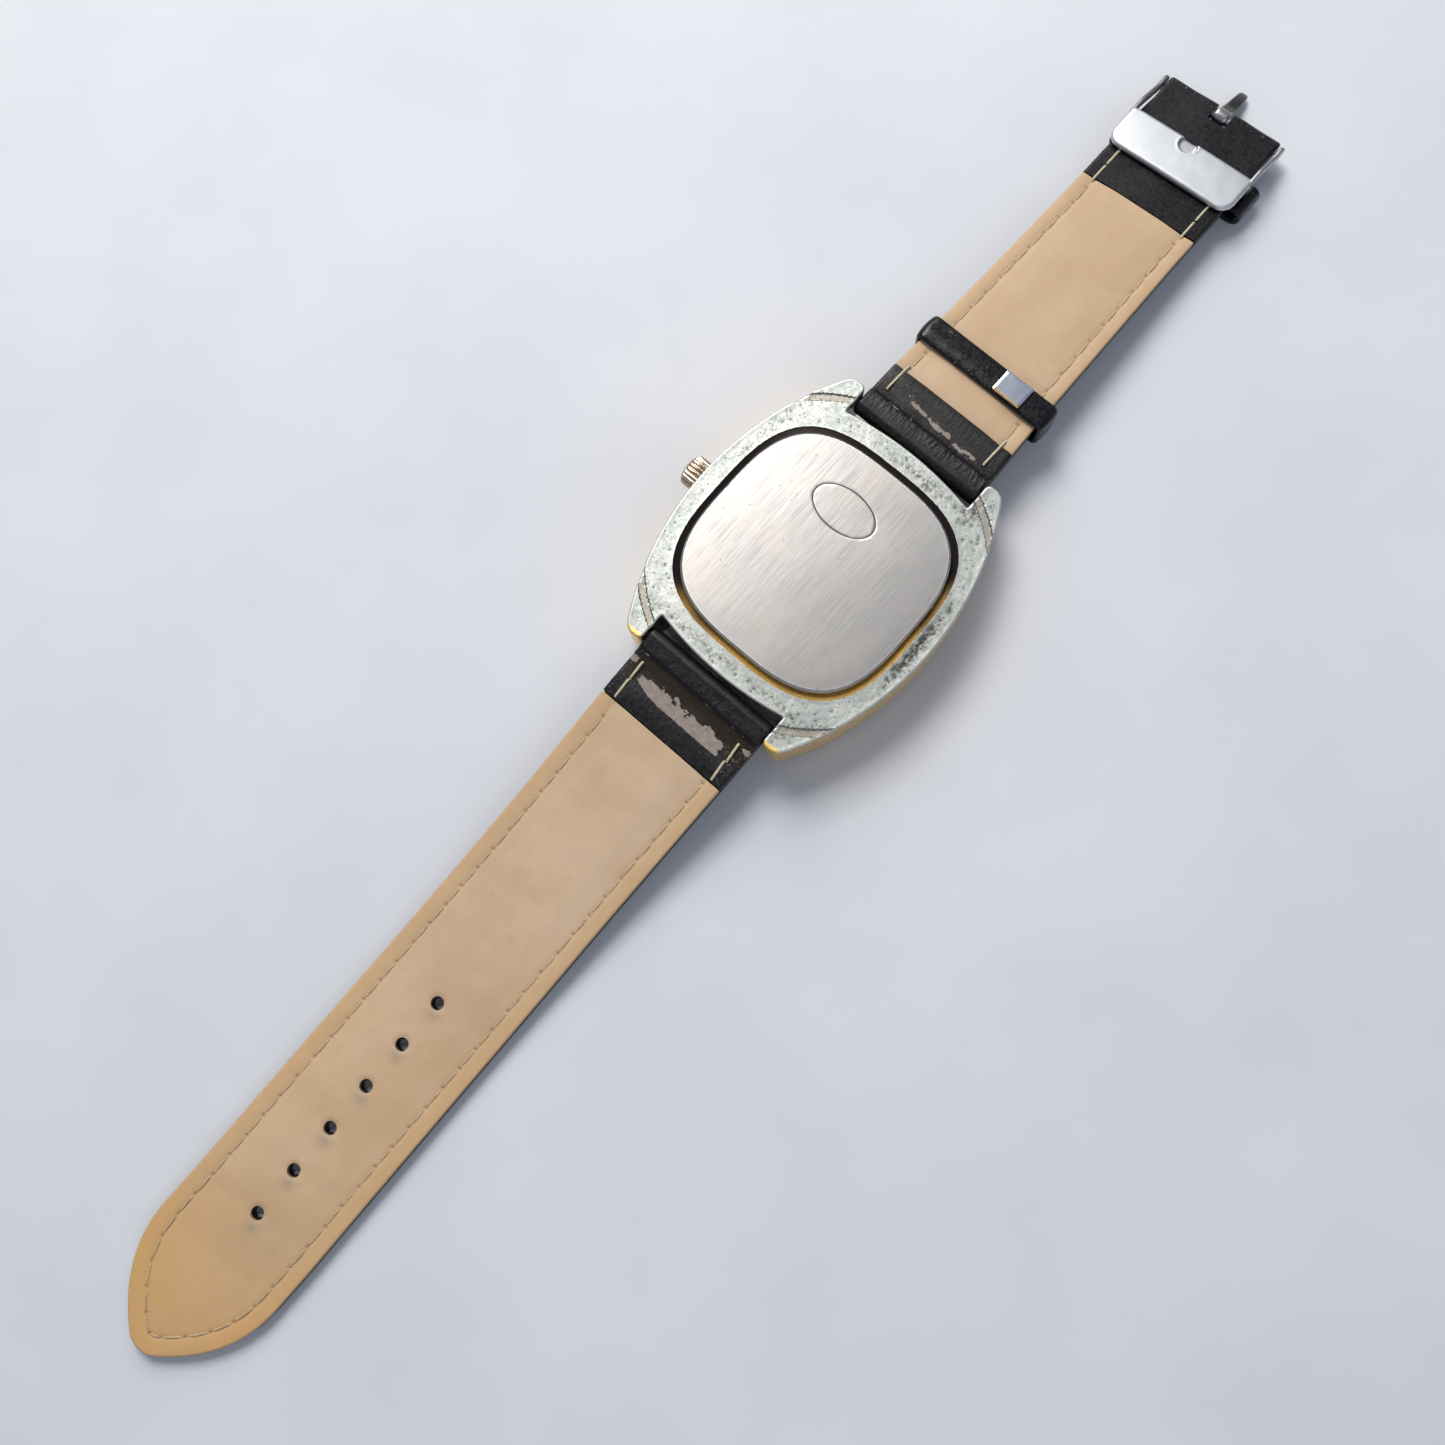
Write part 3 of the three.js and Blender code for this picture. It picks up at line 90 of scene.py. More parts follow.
LOOP_R = 1.35
BAR_LOW = BAR_Z - LOOP_R
STRAP_HALF = 9.8
LONG_HALF = 9.55
LONG_TIP = 125.3
ARCH = 14.3  # length of the pointed end
TIP_START = LONG_TIP - ARCH
LONG_FOLD = 29.4
SHORT_HALF = 8.85
SHORT_FOLD = 27.2
SHORT_TURN = 66.5
LINING_T = 0.8
LAYER_PLAY = 0.02  # between two layers of leather
EDGE_R = 0.3  # rounding of the leather's cut edges
STITCH_PITCH = 3.05
HOLE_R = 0.78
HOLES = [71.9 + 6.54 * i for i in range(6)]
BUCKLE_Y = 85.2
BUCKLE_LOOP = 1.3
BUCKLE_BORE = 0.85
KEEPER_Y = 33.9
KEEPER_WALL = 0.9
FIXED_Y = 76.5
FIXED_WIDTH = 4.6
FIXED_LOW = 1.8  # the short strap's underside at the fixed keeper
SKEW = math.tan(math.radians(4))
SHORT_SLOPE = (BAR_LOW - FIXED_LOW) / (FIXED_Y - BAR_Y)
BUCKLE_Z = BAR_LOW - SHORT_SLOPE * (BUCKLE_Y - BAR_Y) + BUCKLE_LOOP
PLATE_NEAR = 78.3
PLATE_FAR = 71.9
PLATE_T = 0.9
BUCKLE_OUTER = 9.55
BUCKLE_INNER = 8.95


def clamp(v, low=0.0, high=1.0):
    return np.minimum(np.maximum(v, low), high)


def ramp(v, a, b):
    return clamp((v - a) / (b - a))


def smooth(v, a, b):
    t = ramp(v, a, b)
    return t * t * (3 - 2 * t)


def mix(a, b, t):
    return a + (b - a) * t


def bell(v, centre, width):
    return np.exp(-(((v - centre) / width) ** 2))


def rounding(d, r):
    """How far a rounded edge has fallen at the distance d from it."""
    return r * (1 - np.sqrt(1 - clamp(1 - d / r) ** 2))


def field(x, y, scale, seed=0.0, z=0.0):
    """Smooth noise from -1 to 1 at each point. The scale is in waves per mm, or one for each way."""
    x, y = np.broadcast_arrays(np.asarray(x, float), np.asarray(y, float))
    sx, sy = scale if isinstance(scale, tuple) else (scale, scale)
    out = [
        noise.noise(Vector((a * sx + seed, b * sy - seed, z + seed * 0.37)))
        for a, b in zip(x.ravel(), y.ravel())
    ]
    return np.array(out).reshape(x.shape)


# The straps are drawn in (x, s): s is the distance from the middle of the case, along the strap.
def long_low(s):
    """Height of the long strap's underside."""
    return BAR_LOW * (1 - ramp(s, BAR_Y, 80)) ** 2


def long_thick(s):
    """Thickness of the long strap, both layers together."""
    return mix(mix(2.7, 2.25, ramp(s, BAR_Y, 60)), 2.0, ramp(s, 60, LONG_TIP))


def short_low(s):
    return BAR_LOW - SHORT_SLOPE * (s - BAR_Y)


def short_thick(s):
    return mix(mix(2.7, 2.3, ramp(s, BAR_Y, 45)), 2.6, ramp(s, BUCKLE_Y - 9.2, BUCKLE_Y))


def short_half(s):
    """Half the width of the short strap, which narrows towards the buckle."""
    return np.interp(
        s,
        [24, 34, 44, 62, BUCKLE_Y - 6.2, BUCKLE_Y - 3.2],
        [STRAP_HALF, 9.4, 9.2, SHORT_HALF, SHORT_HALF, SHORT_HALF - 0.2],
    )


def sway(v):
    """Bends the long strap sideways."""
    v[:, 0] += 0.9 * ramp(-v[:, 1], BAR_Y, 105) ** 2
    return v


def skew(v):
    """Moves the buckle's end of the short strap askew, as far as it has stretched."""
    v[:, 1] += v[:, 0] * SKEW * ramp(v[:, 1], SHORT_FOLD, SHORT_TURN)
    return v


# ---------- plane outlines ----------
def squircle(half, count=240):
    power = 2 / SQUIRCLE
    unit = circle(count)
    return even(half * np.copysign(np.abs(unit) ** power, unit), count)


def circle(count):
    """Points round the unit circle, counter-clockwise."""
    turn = 2 * math.pi * np.arange(count) / count
    return np.column_stack([np.cos(turn), np.sin(turn)])


def run_of(path):
    """The distance along a path of each of its points."""
    return np.concatenate([[0], np.cumsum(np.hypot(*np.diff(path, axis=0).T))])


def along(path, at):
    """The points at the given distances along a path."""
    run = run_of(path)
    return np.column_stack([np.interp(at, run, path[:, 0]), np.interp(at, run, path[:, 1])])


def even(points, count):
    """The closed outline again, with its points evenly spaced."""
    closed = np.vstack([points, points[:1]])
    return along(closed, np.linspace(0, length_of(points), count, endpoint=False))


def length_of(points):
    """The length of a closed outline."""
    return float(run_of(np.vstack([points, points[:1]]))[-1])


def normals(line):
    """The unit normals of an open line of points, to its left."""
    tangent = np.gradient(line, axis=0)
    tangent /= np.hypot(*tangent.T)[:, None] + 1e-9
    return np.column_stack([-tangent[:, 1], tangent[:, 0]])


def softened(points, rounds):
    for _ in range(rounds):
        points = (np.roll(points, 1, 0) + 2 * points + np.roll(points, -1, 0)) / 4
    return points


def inset(points, by):
    """Moves a counter-clockwise outline inwards along its own normals."""
    tangent = np.roll(points, -1, 0) - np.roll(points, 1, 0)
    tangent /= np.hypot(*tangent.T)[:, None]
    return points + by * np.column_stack([-tangent[:, 1], tangent[:, 0]])


def distance(points, outline, closed=True):
    """Distance of each point to an outline."""
    ends = np.roll(outline, -1, 0) if closed else outline[1:]
    starts = outline if closed else outline[:-1]
    best = np.full(len(points), 1e9)
    for a, b in zip(starts, ends):
        d = b - a
        t = clamp(((points - a) @ d) / max(d @ d, 1e-12))
        gap = points - a - t[:, None] * d
        best = np.minimum(best, (gap**2).sum(1))
    return np.sqrt(best)


def inside(points, outline):
    x, y = points[:, 0], points[:, 1]
    hit = np.zeros(len(points), bool)
    for (x0, y0), (x1, y1) in zip(outline, np.roll(outline, -1, 0)):
        if y0 == y1:
            continue
        crosses = (y0 > y) != (y1 > y)
        hit ^= crosses & (x < (x1 - x0) * (y - y0) / (y1 - y0) + x0)
    return hit


def fill(outer, holes=(), rings=(), pitch=0.5, clear=0.3, extra=()):
    """Triangulates the area inside outer and outside the holes.

    rings are further closed outlines whose points are used, and extra holds loose points.
    Returns the points, the triangles, and the index of each outline's points.
    """
    loops = [np.asarray(outer), *map(np.asarray, holes), *map(np.asarray, rings)]
    points, edges, index = [], [], []
    for loop in loops:
        first = len(points)
        points += [tuple(p) for p in loop]
        index.append(list(range(first, first + len(loop))))
        edges += [(first + i, first + (i + 1) % len(loop)) for i in range(len(loop))]
    low, high = loops[0].min(0), loops[0].max(0)
    xs = np.arange(low[0] + pitch / 2, high[0], pitch)
    ys = np.arange(low[1] + pitch / 2, high[1], pitch * 0.87)
    grid = np.array([(x + (pitch / 2 if j % 2 else 0), y) for j, y in enumerate(ys) for x in xs])
    grid = grid[inside(grid, loops[0])]
    for hole in loops[1 : 1 + len(holes)]:
        grid = grid[~inside(grid, hole)]
    for loop in loops:
        grid = grid[distance(grid, loop) > clear]
    points += [tuple(p) for p in grid]
    points += [tuple(p) for p in extra]
    made, _, faces, origin, _, _ = delaunay_2d_cdt([Vector(p) for p in points], edges, [], 0, 1e-6)
    made = np.array([tuple(v) for v in made])
    back = {}
    for new, olds in enumerate(origin):
        for old in olds:
            back[old] = new
    faces = np.array([f for f in faces if len(f) == 3])
    centre = made[faces].mean(1)
    keep = inside(centre, loops[0])
    for hole in loops[1 : 1 + len(holes)]:
        keep &= ~inside(centre, hole)
    return made, faces[keep], [[back[i] for i in loop] for loop in index]


# ---------- meshes ----------
class Build:
    """Collects the vertices, faces and per-vertex values of one piece, in mm."""

    def __init__(self):
        self.v, self.f, self.values, self.slots = [], [], {}, []

    def add(self, points, faces, material=0, **values):
        first = sum(len(p) for p in self.v)
        self.v.append(np.asarray(points, float).reshape(-1, 3))
        self.f += [tuple(int(i) + first for i in face) for face in faces]
        self.slots += [material] * len(faces)
        for name in set(self.values) | set(values):
            kept = self.values.setdefault(name, [np.zeros(first)] if first else [])
            new = values.get(name, 0.0)
            kept.append(np.broadcast_to(np.asarray(new, float), (len(self.v[-1]),)).copy())
        return first

    def points(self):
        return np.vstack(self.v)

    def object(self, name, materials, body, replaces=(), weld=1e-4, moved=None):
        points = self.points()
        if moved is not None:
            points = moved(points)
        mesh = bpy.data.meshes.new(name)
        mesh.from_pydata((points * MM).tolist(), [], self.f)
        for key, parts in self.values.items():
            mesh.attributes.new(key, "FLOAT", "POINT").data.foreach_set("value", np.concatenate(parts))
        for material in materials if isinstance(materials, (list, tuple)) else [materials]:
            mesh.materials.append(material)
        mesh.polygons.foreach_set("material_index", self.slots)
        bm = bmesh.new()
        bm.from_mesh(mesh)
        bmesh.ops.remove_doubles(bm, verts=bm.verts, dist=weld * MM)
        bmesh.ops.recalc_face_normals(bm, faces=bm.faces)
        bm.to_mesh(mesh)
        bm.free()
        mesh.shade_smooth()
        mesh.set_sharp_from_angle(angle=SHARP)
        piece = bpy.data.objects.new(name, mesh)
        bpy.context.scene.collection.objects.link(piece)
        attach(piece, body)
        if replaces:
            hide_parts(*replaces)


def strip(rows, closed_rows=False, closed_columns=False):
    """Quads between rows of points laid out one after another; rows is (row count, column count)."""
    n, m = rows
    faces = []
    for i in range(n if closed_rows else n - 1):
        for j in range(m if closed_columns else m - 1):
            a, b = i * m + j, i * m + (j + 1) % m
            k = ((i + 1) % n) * m
            faces.append((a, b, k + (j + 1) % m, k + j))
    return faces


def shell(build, outer, inner, keep=None, **values):
    """A sheet between two grids of points (rows, columns, 3), closed with walls along its free edges."""
    n, m = outer.shape[:2]
    quads = strip((n, m))
    if keep is not None:
        quads = [q for q in quads if keep[q[0] // m, q[0] % m]]
    count = n * m
    edges = {}
    for q in quads:
        for a, b in zip(q, q[1:] + q[:1]):
            edges[(a, b)] = edges.get((a, b), 0) + 1
    walls = [(a, a + count, b + count, b) for a, b in edges if (b, a) not in edges]
    faces = quads + [tuple(i + count for i in reversed(q)) for q in quads] + walls
    points = np.vstack([outer.reshape(-1, 3), inner.reshape(-1, 3)])
    build.add(points, faces, **{key: np.tile(np.ravel(value), 2) for key, value in values.items()})


def loft(build, loops, material=0, closed=True, caps=False, **values):
    """Joins equal loops of points, one after another, and closes the ends where caps is true."""
    loops = [np.asarray(p, float) for p in loops]
    n, m = len(loops), len(loops[0])
    faces = strip((n, m), closed_columns=closed)
    if caps:
        faces.append(tuple(range(m))[::-1])
        faces.append(tuple(range((n - 1) * m, n * m)))
    build.add(np.vstack(loops), faces, material, **values)


def at_z(outline, z):
    return np.column_stack([outline, np.broadcast_to(np.asarray(z, float), (len(outline),))])


def slab(build, flat, tris, z, under, loops, above, below, edge, hole):
    """A plate between two heights over one plan, with walls round its outline and its holes."""
    build.add(at_z(flat, z), tris, **above)
    build.add(at_z(flat, under), tris[:, ::-1], **below)
    for k, loop in enumerate(loops):
        rows = [at_z(flat[loop], z[loop]), at_z(flat[loop], under[loop])]
        loft(build, rows[::-1] if k else rows, **(hole if k else edge))


def tube(build, path, r, sides=8, material=0, taper=None, **values):
    """A round thread or rod along a path of points, closed at both ends."""
    path = np.asarray(path, float)
    tangent = np.gradient(path, axis=0)
    tangent /= np.linalg.norm(tangent, axis=1)[:, None]
    up = np.array([0.0, 0.0, 1.0]) if abs(tangent[0][2]) < 0.9 else np.array([0.0, 1.0, 0.0])
    side = np.cross(tangent, up)
    side /= np.linalg.norm(side, axis=1)[:, None]
    rise = np.cross(side, tangent)
    turn = 2 * math.pi * np.arange(sides) / sides
    loops = []
    for i, p in enumerate(path):
        ri = r * (taper[i] if taper is not None else 1)
        loops.append(p + ri * (np.outer(np.cos(turn), side[i]) + np.outer(np.sin(turn), rise[i])))
    loft(build, loops, material, caps=True, **values)


# ---------- materials ----------
class Paint:
    """A node material; its patterns are in mm."""

    def __init__(self, name, color, roughness=0.5, metallic=0.0, **sockets):
        self.material = bpy.data.materials.new(name)
        self.material.use_nodes = True
        self.tree = self.material.node_tree
        self.shader = self.tree.nodes["Principled BSDF"]
        self.set(self.shader, "Base Color", (*color, 1))
        self.set(self.shader, "Roughness", roughness)
        self.set(self.shader, "Metallic", metallic)
        for key, value in sockets.items():
            self.set(self.shader, key.replace("_", " "), value)
        self.height = None
        self.place = self.node("ShaderNodeTexCoord").outputs["Object"]

    def set(self, node, key, value):
        if isinstance(value, bpy.types.NodeSocket):
            self.tree.links.new(value, node.inputs[key])
        else:
            node.inputs[key].default_value = value

    def node(self, kind, **inputs):
        node = self.tree.nodes.new(kind)
        for key, value in inputs.items():
            self.set(node, key.replace("_", " "), value)
        return node

    def stretched(self, scale):
        node = self.node("ShaderNodeMapping", Vector=self.place)
        node.inputs["Scale"].default_value = scale
        return node.outputs["Vector"]

    def noise(self, per_mm, detail=3.0, rough=0.55, stretch=None, distortion=0.0):
        vector = self.stretched(tuple(1000 * s for s in stretch)) if stretch else self.place
        scale = per_mm if stretch else per_mm * 1000
        made = self.node("ShaderNodeTexNoise", Vector=vector, Scale=scale, Detail=detail, Roughness=rough)
        made.inputs["Distortion"].default_value = distortion
        return made.outputs["Fac"]

    def cells(self, per_mm, feature="F1", stretch=None):
        vector = self.stretched(tuple(1000 * s for s in stretch)) if stretch else self.place
        made = self.node("ShaderNodeTexVoronoi", Vector=vector, Scale=per_mm if stretch else per_mm * 1000)
        made.feature = feature
        return made.outputs["Distance"]

    def value(self, attribute):
        made = self.node("ShaderNodeAttribute")
        made.attribute_name = attribute
        return made.outputs["Fac"]

    def curve(self, value, low, high, out_low=0.0, out_high=1.0):
        """A smooth step from out_low to out_high while the value goes from low to high."""
        made = self.node("ShaderNodeMapRange", Value=value)
        made.interpolation_type = "SMOOTHSTEP"
        for key, v in zip(("From Min", "From Max", "To Min", "To Max"), (low, high, out_low, out_high)):
            made.inputs[key].default_value = v
        return made.outputs["Result"]

    def math(self, kind, a, b=0.0, limit=False):
        made = self.node("ShaderNodeMath")
        made.operation = kind
        made.use_clamp = limit
        for i, v in enumerate((a, b)):
            self.set(made, i, v)
        return made.outputs["Value"]

    def blend(self, amount, a, b, kind="MIX"):
        made = self.node("ShaderNodeMix")
        made.data_type = "RGBA"
        made.blend_type = kind
        self.set(made, 0, amount)
        for i, v in ((6, a), (7, b)):
            self.set(made, i, v if isinstance(v, bpy.types.NodeSocket) else (*v, 1))
        return made.outputs[2]

    def layers(self, tone, **colors):
        """Paints the colour of each named vertex value over the tone, in turn."""
        for name, color in colors.items():
            tone = self.blend(self.value(name), tone, color)
        return tone

    def color(self, value):
        self.set(self.shader, "Base Color", value)
        return self

    def rough(self, value):
        self.set(self.shader, "Roughness", value)
        return self

    def bump(self, height, distance, strength=1.0):
        """Adds relief; distance is in mm."""
        made = self.node("ShaderNodeBump", Height=height)
        made.inputs["Distance"].default_value = distance * MM
        made.inputs["Strength"].default_value = strength
        if self.height is not None:
            self.set(made, "Normal", self.height)
        self.height = made.outputs["Normal"]
        self.set(self.shader, "Normal", self.height)
        return self


def casting():
    p = Paint("raw_casting", (0.7, 0.72, 0.66), 0.42, 0.75)
    patches = p.noise(0.22, 4, 0.6)
    fine = p.noise(2.6, 4, 0.65)
    tone = p.blend(p.curve(patches, 0.35, 0.68), (0.38, 0.405, 0.37), (0.49, 0.495, 0.455))
    tone = p.blend(p.curve(fine, 0.28, 0.52, 0.5, 0.0), tone, (0.27, 0.30, 0.26))
    tone = p.blend(p.curve(p.noise(4.5, 3, 0.7), 0.34, 0.5, 0.45, 0.0), tone, (0.16, 0.17, 0.15))
    speck = p.cells(1.5)
    dots = p.math("MULTIPLY", p.curve(speck, 0.12, 0.22, 1, 0), p.curve(p.noise(0.5, 2), 0.44, 0.56))
    tone = p.blend(dots, tone, (0.10, 0.10, 0.08))
    flecks = p.math("MULTIPLY", p.curve(p.noise(2.2, 3, 0.6), 0.47, 0.55), p.value("grime"), True)
    tone = p.blend(flecks, tone, (0.05, 0.04, 0.03))
    tone = p.layers(tone, pit=(0.04, 0.035, 0.03), band=(0.30, 0.28, 0.235))
    # rim is a painted highlight along the back's edges and round the opening.
    p.color(p.layers(tone, rim=(0.62, 0.63, 0.60), gilt=(0.80, 0.52, 0.14)))
    p.rough(p.curve(fine, 0.3, 0.7, 0.52, 0.38))
    p.bump(fine, 0.022, 0.7)
    p.bump(p.noise(6, 2), 0.010, 0.7)
    return p.material


def gold(name="gold_plating", tint=(0.92, 0.62, 0.20), worn=(0.80, 0.56, 0.24), metallic=0.65):
    p = Paint(name, tint, 0.2, metallic)
    wear = p.noise(0.6, 4, 0.6)
    tone = p.blend(p.curve(wear, 0.56, 0.66), tint, worn)
    # Painted dark and bronze reflections, laid over the gold on the chamfer and on the lug slots' walls.
    p.color(p.layers(tone, navy=(0.012, 0.012, 0.03), bronze=(0.30, 0.20, 0.10)))
    p.rough(p.curve(p.noise(1.6, 3), 0.3, 0.75, 0.14, 0.34))
    p.bump(p.noise(0.8, 2), 0.012, 0.4)
    return p.material


def brushed(name, tint, across=7.0, along=0.14, roughness=(0.28, 0.42), relief=0.0016, axis="y", dirty=0.0):
    """Metal with fine parallel lines; axis is the way that the lines run."""
    order = {"x": (along, across, across), "y": (across, along, across), "z": (across, across, along)}[axis]
    p = Paint(name, tint, 0.3, 1.0)
    lines = p.noise(1.0, 4, 0.7, stretch=order)
    broad = p.noise(0.16, 3)
    darker = tuple(c * 0.68 for c in tint)
    tone = p.blend(p.curve(lines, 0.36, 0.62), darker, tint)
    warmer = tuple(min(1, c * k) for c, k in zip(tint, (1.12, 1.0, 0.93)))
    tone = p.blend(p.curve(broad, 0.4, 0.7, 0, 0.35), tone, warmer)
    if dirty:
        where = p.curve(p.noise(0.35, 2), 0.52, 0.6)
        specks = p.math("MULTIPLY", p.curve(p.cells(0.9), 0.05, 0.13, 1, 0), where)
        tone = p.blend(p.math("MULTIPLY", specks, dirty), tone, (0.10, 0.09, 0.08))
    # rim is a painted highlight along the cover's edge.
    p.color(p.layers(tone, dark=(0.10, 0.095, 0.085), rim=(0.62, 0.61, 0.59)))
    p.rough(p.curve(lines, 0.25, 0.75, *reversed(roughness)))
    p.bump(lines, relief, 0.7)
    return p.material


def satin(name, tint, roughness=0.3, scuffs=0.3):
    p = Paint(name, tint, roughness, 1.0)
    cloud = p.noise(0.5, 4, 0.6)
    scratch = p.noise(1.0, 3, 0.6, stretch=(0.5, 7.0, 4.0))
    tone = p.blend(p.curve(cloud, 0.35, 0.7), tuple(c * 0.93 for c in tint), tint)
    tone = p.blend(p.curve(scratch, 0.6, 0.75, 0, scuffs), tone, tuple(c * 0.75 for c in tint))
    # dark carries painted shade on the buckle and the tongue, and the warm layer is a painted warm reflection
    # on the clip and the tongue.
    p.color(p.layers(tone, dark=(0.10, 0.09, 0.08), warm=(0.80, 0.58, 0.28)))
    p.rough(p.curve(cloud, 0.3, 0.7, roughness * 0.97, roughness * 1.05))
    p.bump(scratch, 0.0012, 0.5)
    return p.material


def black_leather(name="black_leather", roughness=0.38, grain_depth=1.0):
    p = Paint(name, (0.012, 0.011, 0.012), roughness, 0.0, Specular_IOR_Level=0.3)
    pores = p.cells(2.6, "SMOOTH_F1")
    grain = p.noise(2.2, 4, 0.6)
    base = p.blend(p.curve(grain, 0.35, 0.7), (0.005, 0.0045, 0.0055), (0.011, 0.010, 0.011))
    base = p.layers(base, brown=(0.020, 0.012, 0.006))
    speck = p.math("MULTIPLY", p.curve(p.noise(3.1, 3, 0.7), 0.60, 0.68), p.value("scuff"), True)
    torn = p.math("ADD", p.value("worn"), p.math("MULTIPLY", p.math("SUBTRACT", grain, 0.5), 1.5))
    bare = p.curve(torn, 0.46, 0.54)
    base = p.blend(speck, base, (0.34, 0.27, 0.20))
    base = p.blend(bare, base, p.blend(p.noise(1.7, 4), (0.17, 0.13, 0.105), (0.40, 0.34, 0.29)))
    p.color(base)
    shine = p.curve(grain, 0.3, 0.7, roughness - 0.07, roughness + 0.09)
    p.rough(p.math("ADD", shine, p.math("MULTIPLY", bare, 0.4), True))
    p.bump(pores, 0.022 * grain_depth, 0.45)
    folds = p.noise(1.0, 3, 0.6, stretch=(1.7, 0.5, 0.8), distortion=0.6)
    p.bump(p.math("MULTIPLY", folds, p.value("wrinkled")), 0.17, 1.0)
    p.bump(p.noise(5.5, 3), 0.012 * grain_depth, 0.45)
    return p.material


def tan_lining():
    p = Paint("tan_lining", (0.60, 0.42, 0.25), 0.55, 0.0, Specular_IOR_Level=0.35)
    cloud = p.noise(0.07, 4, 0.6)
    fine = p.noise(1.3, 4, 0.65)
    tone = p.blend(p.curve(cloud, 0.32, 0.7), (0.53, 0.365, 0.22), (0.61, 0.44, 0.285))
    tone = p.layers(tone, margin=(0.56, 0.375, 0.205), amber=(0.60, 0.35, 0.135), grey=(0.36, 0.27, 0.19))
    tone = p.blend(p.curve(fine, 0.30, 0.46, 0.22, 0), tone, (0.44, 0.30, 0.17))
    tone = p.blend(p.math("MULTIPLY", p.value("needle"), 0.8), tone, (0.16, 0.09, 0.045))
    p.color(p.layers(tone, cut_edge=(0.50, 0.33, 0.17)))
    p.rough(p.curve(fine, 0.3, 0.7, 0.5, 0.62))
    p.bump(fine, 0.012, 0.6)
    p.bump(p.cells(3.4, "SMOOTH_F1"), 0.008, 0.6)
    return p.material


def thread(name, tint):
    p = Paint(name, tint, 0.62)
    twist = p.noise(5.0, 2)
    p.color(p.blend(p.curve(twist, 0.3, 0.7), tuple(c * 0.62 for c in tint), tint))
    p.bump(twist, 0.03, 0.9)
    return p.material


def moulded(name, tint, roughness=0.45, **sockets):
    p = Paint(name, tint, roughness, **sockets)
    p.color(p.blend(p.curve(p.noise(0.9, 3), 0.3, 0.7), tuple(c * 0.85 for c in tint), tint))
    p.bump(p.noise(6, 2), 0.006, 0.5)
    return p.material


def glass():
    p = Paint("crystal_glass", (0.97, 0.98, 0.98), 0.03, 0.0, Transmission_Weight=1.0, IOR=1.5)
    p.bump(p.noise(0.3, 2), 0.001, 0.3)
    return p.material


def winding():
    p = Paint("coil_copper", (0.80, 0.36, 0.17), 0.3, 1.0)
    turns = p.noise(1.0, 1, 0.5, stretch=(14.0, 0.6, 0.6))
    p.color(p.blend(p.curve(turns, 0.35, 0.65), (0.42, 0.15, 0.06), (0.86, 0.42, 0.2)))
    p.bump(turns, 0.02, 0.9)
    return p.material


def board():
    p = Paint("board_resin", (0.02, 0.16, 0.06), 0.35)
    tracks = p.cells(0.8)
    p.color(p.blend(p.curve(tracks, 0.42, 0.5), (0.02, 0.13, 0.05), (0.05, 0.27, 0.10)))
    p.bump(tracks, 0.01, 0.5)
    return p.material


def dial_paint():
    p = Paint("dial_paint", (0.86, 0.84, 0.78), 0.4, 0.0, Coat_Weight=0.4, Coat_Roughness=0.15)
    rays = p.noise(0.5, 3)
    p.color(p.blend(p.curve(rays, 0.3, 0.7), (0.80, 0.78, 0.72), (0.90, 0.88, 0.83)))
    p.bump(p.noise(8, 2), 0.003, 0.5)
    return p.material


CASTING, GOLD = casting(), gold()
STEEL = brushed("cover_steel", (0.41, 0.395, 0.375), dirty=0.8)
CROWN = gold("crown_gold", (0.60, 0.47, 0.34), (0.62, 0.57, 0.52), 1.0)
LEATHER, GLOSSY = black_leather(), black_leather("keeper_leather", 0.25, 0.25)
LINING = tan_lining()
CREAM, TAN_THREAD = thread("cream_thread", (0.70, 0.61, 0.39)), thread("tan_thread", (0.60, 0.45, 0.26))
BUCKLE = satin("buckle_steel", (0.66, 0.67, 0.67), 0.48, 0.1)
CLIP = satin("clip_steel", (0.84, 0.86, 0.92), 0.22, 0.1)
TONGUE = satin("tongue_steel", (0.52, 0.50, 0.47), 0.28)
BRIGHT = satin("bright_steel", (0.72, 0.71, 0.69), 0.25)
PLAIN = {
    "crystal_glass": glass(),
    "bright_steel": BRIGHT,
    "plate_metal": brushed("plate_metal", (0.66, 0.58, 0.42), across=4, along=0.6, axis="x"),
    "gear_brass": brushed("gear_brass", (0.83, 0.62, 0.28), across=5, along=1, axis="x"),
    "dial_paint": dial_paint(),
    "coil_copper": winding(),
    "board_resin": board(),
    "chip_resin": moulded("chip_resin", (0.015, 0.015, 0.017), 0.35),
    "holder_plastic": moulded("holder_plastic", (0.72, 0.72, 0.70), 0.5),
    "seal_rubber": moulded("seal_rubber", (0.02, 0.02, 0.022), 0.6),
    "crown_gold": GOLD,
    "case_metal": GOLD,
    "cover_steel": STEEL,
    "buckle_steel": BUCKLE,
    "black_leather": LEATHER,
    "tan_lining": LINING,
}


# ---------- case ----------
def side_x(y):
    """Half the width of the case at y: its flanks are bowed."""
    return CASE_HALF - SIDE_R + np.sqrt(SIDE_R**2 - y**2)


def case_outline():
    """The case in plan, counter-clockwise, with four lugs."""
    drop = SLOT_MID - SLOT_LUG
    r = (LUG_INNER**2 + drop**2) / (2 * drop)
    quarter = [(side_x(y), y) for y in np.linspace(0, 20.9, 60)]
    quarter += [(side_x(21.55) - 0.12, 21.55), (side_x(LUG_END) - 0.7, LUG_END)]
    quarter += [(LUG_INNER + 0.45, LUG_END), (LUG_INNER, LUG_END - 0.45), (LUG_INNER, SLOT_LUG)]
    quarter += [(x, SLOT_MID - r + math.sqrt(r**2 - x**2)) for x in np.linspace(LUG_INNER, 0, 24)[1:]]
    quarter = np.array(quarter)
    upper = np.vstack([quarter, (quarter * (-1, 1))[::-1][1:]])
    whole = np.vstack([upper[:-1], -upper[:-1]])
    return softened(even(whole, int(length_of(whole) / 0.22)), 1)


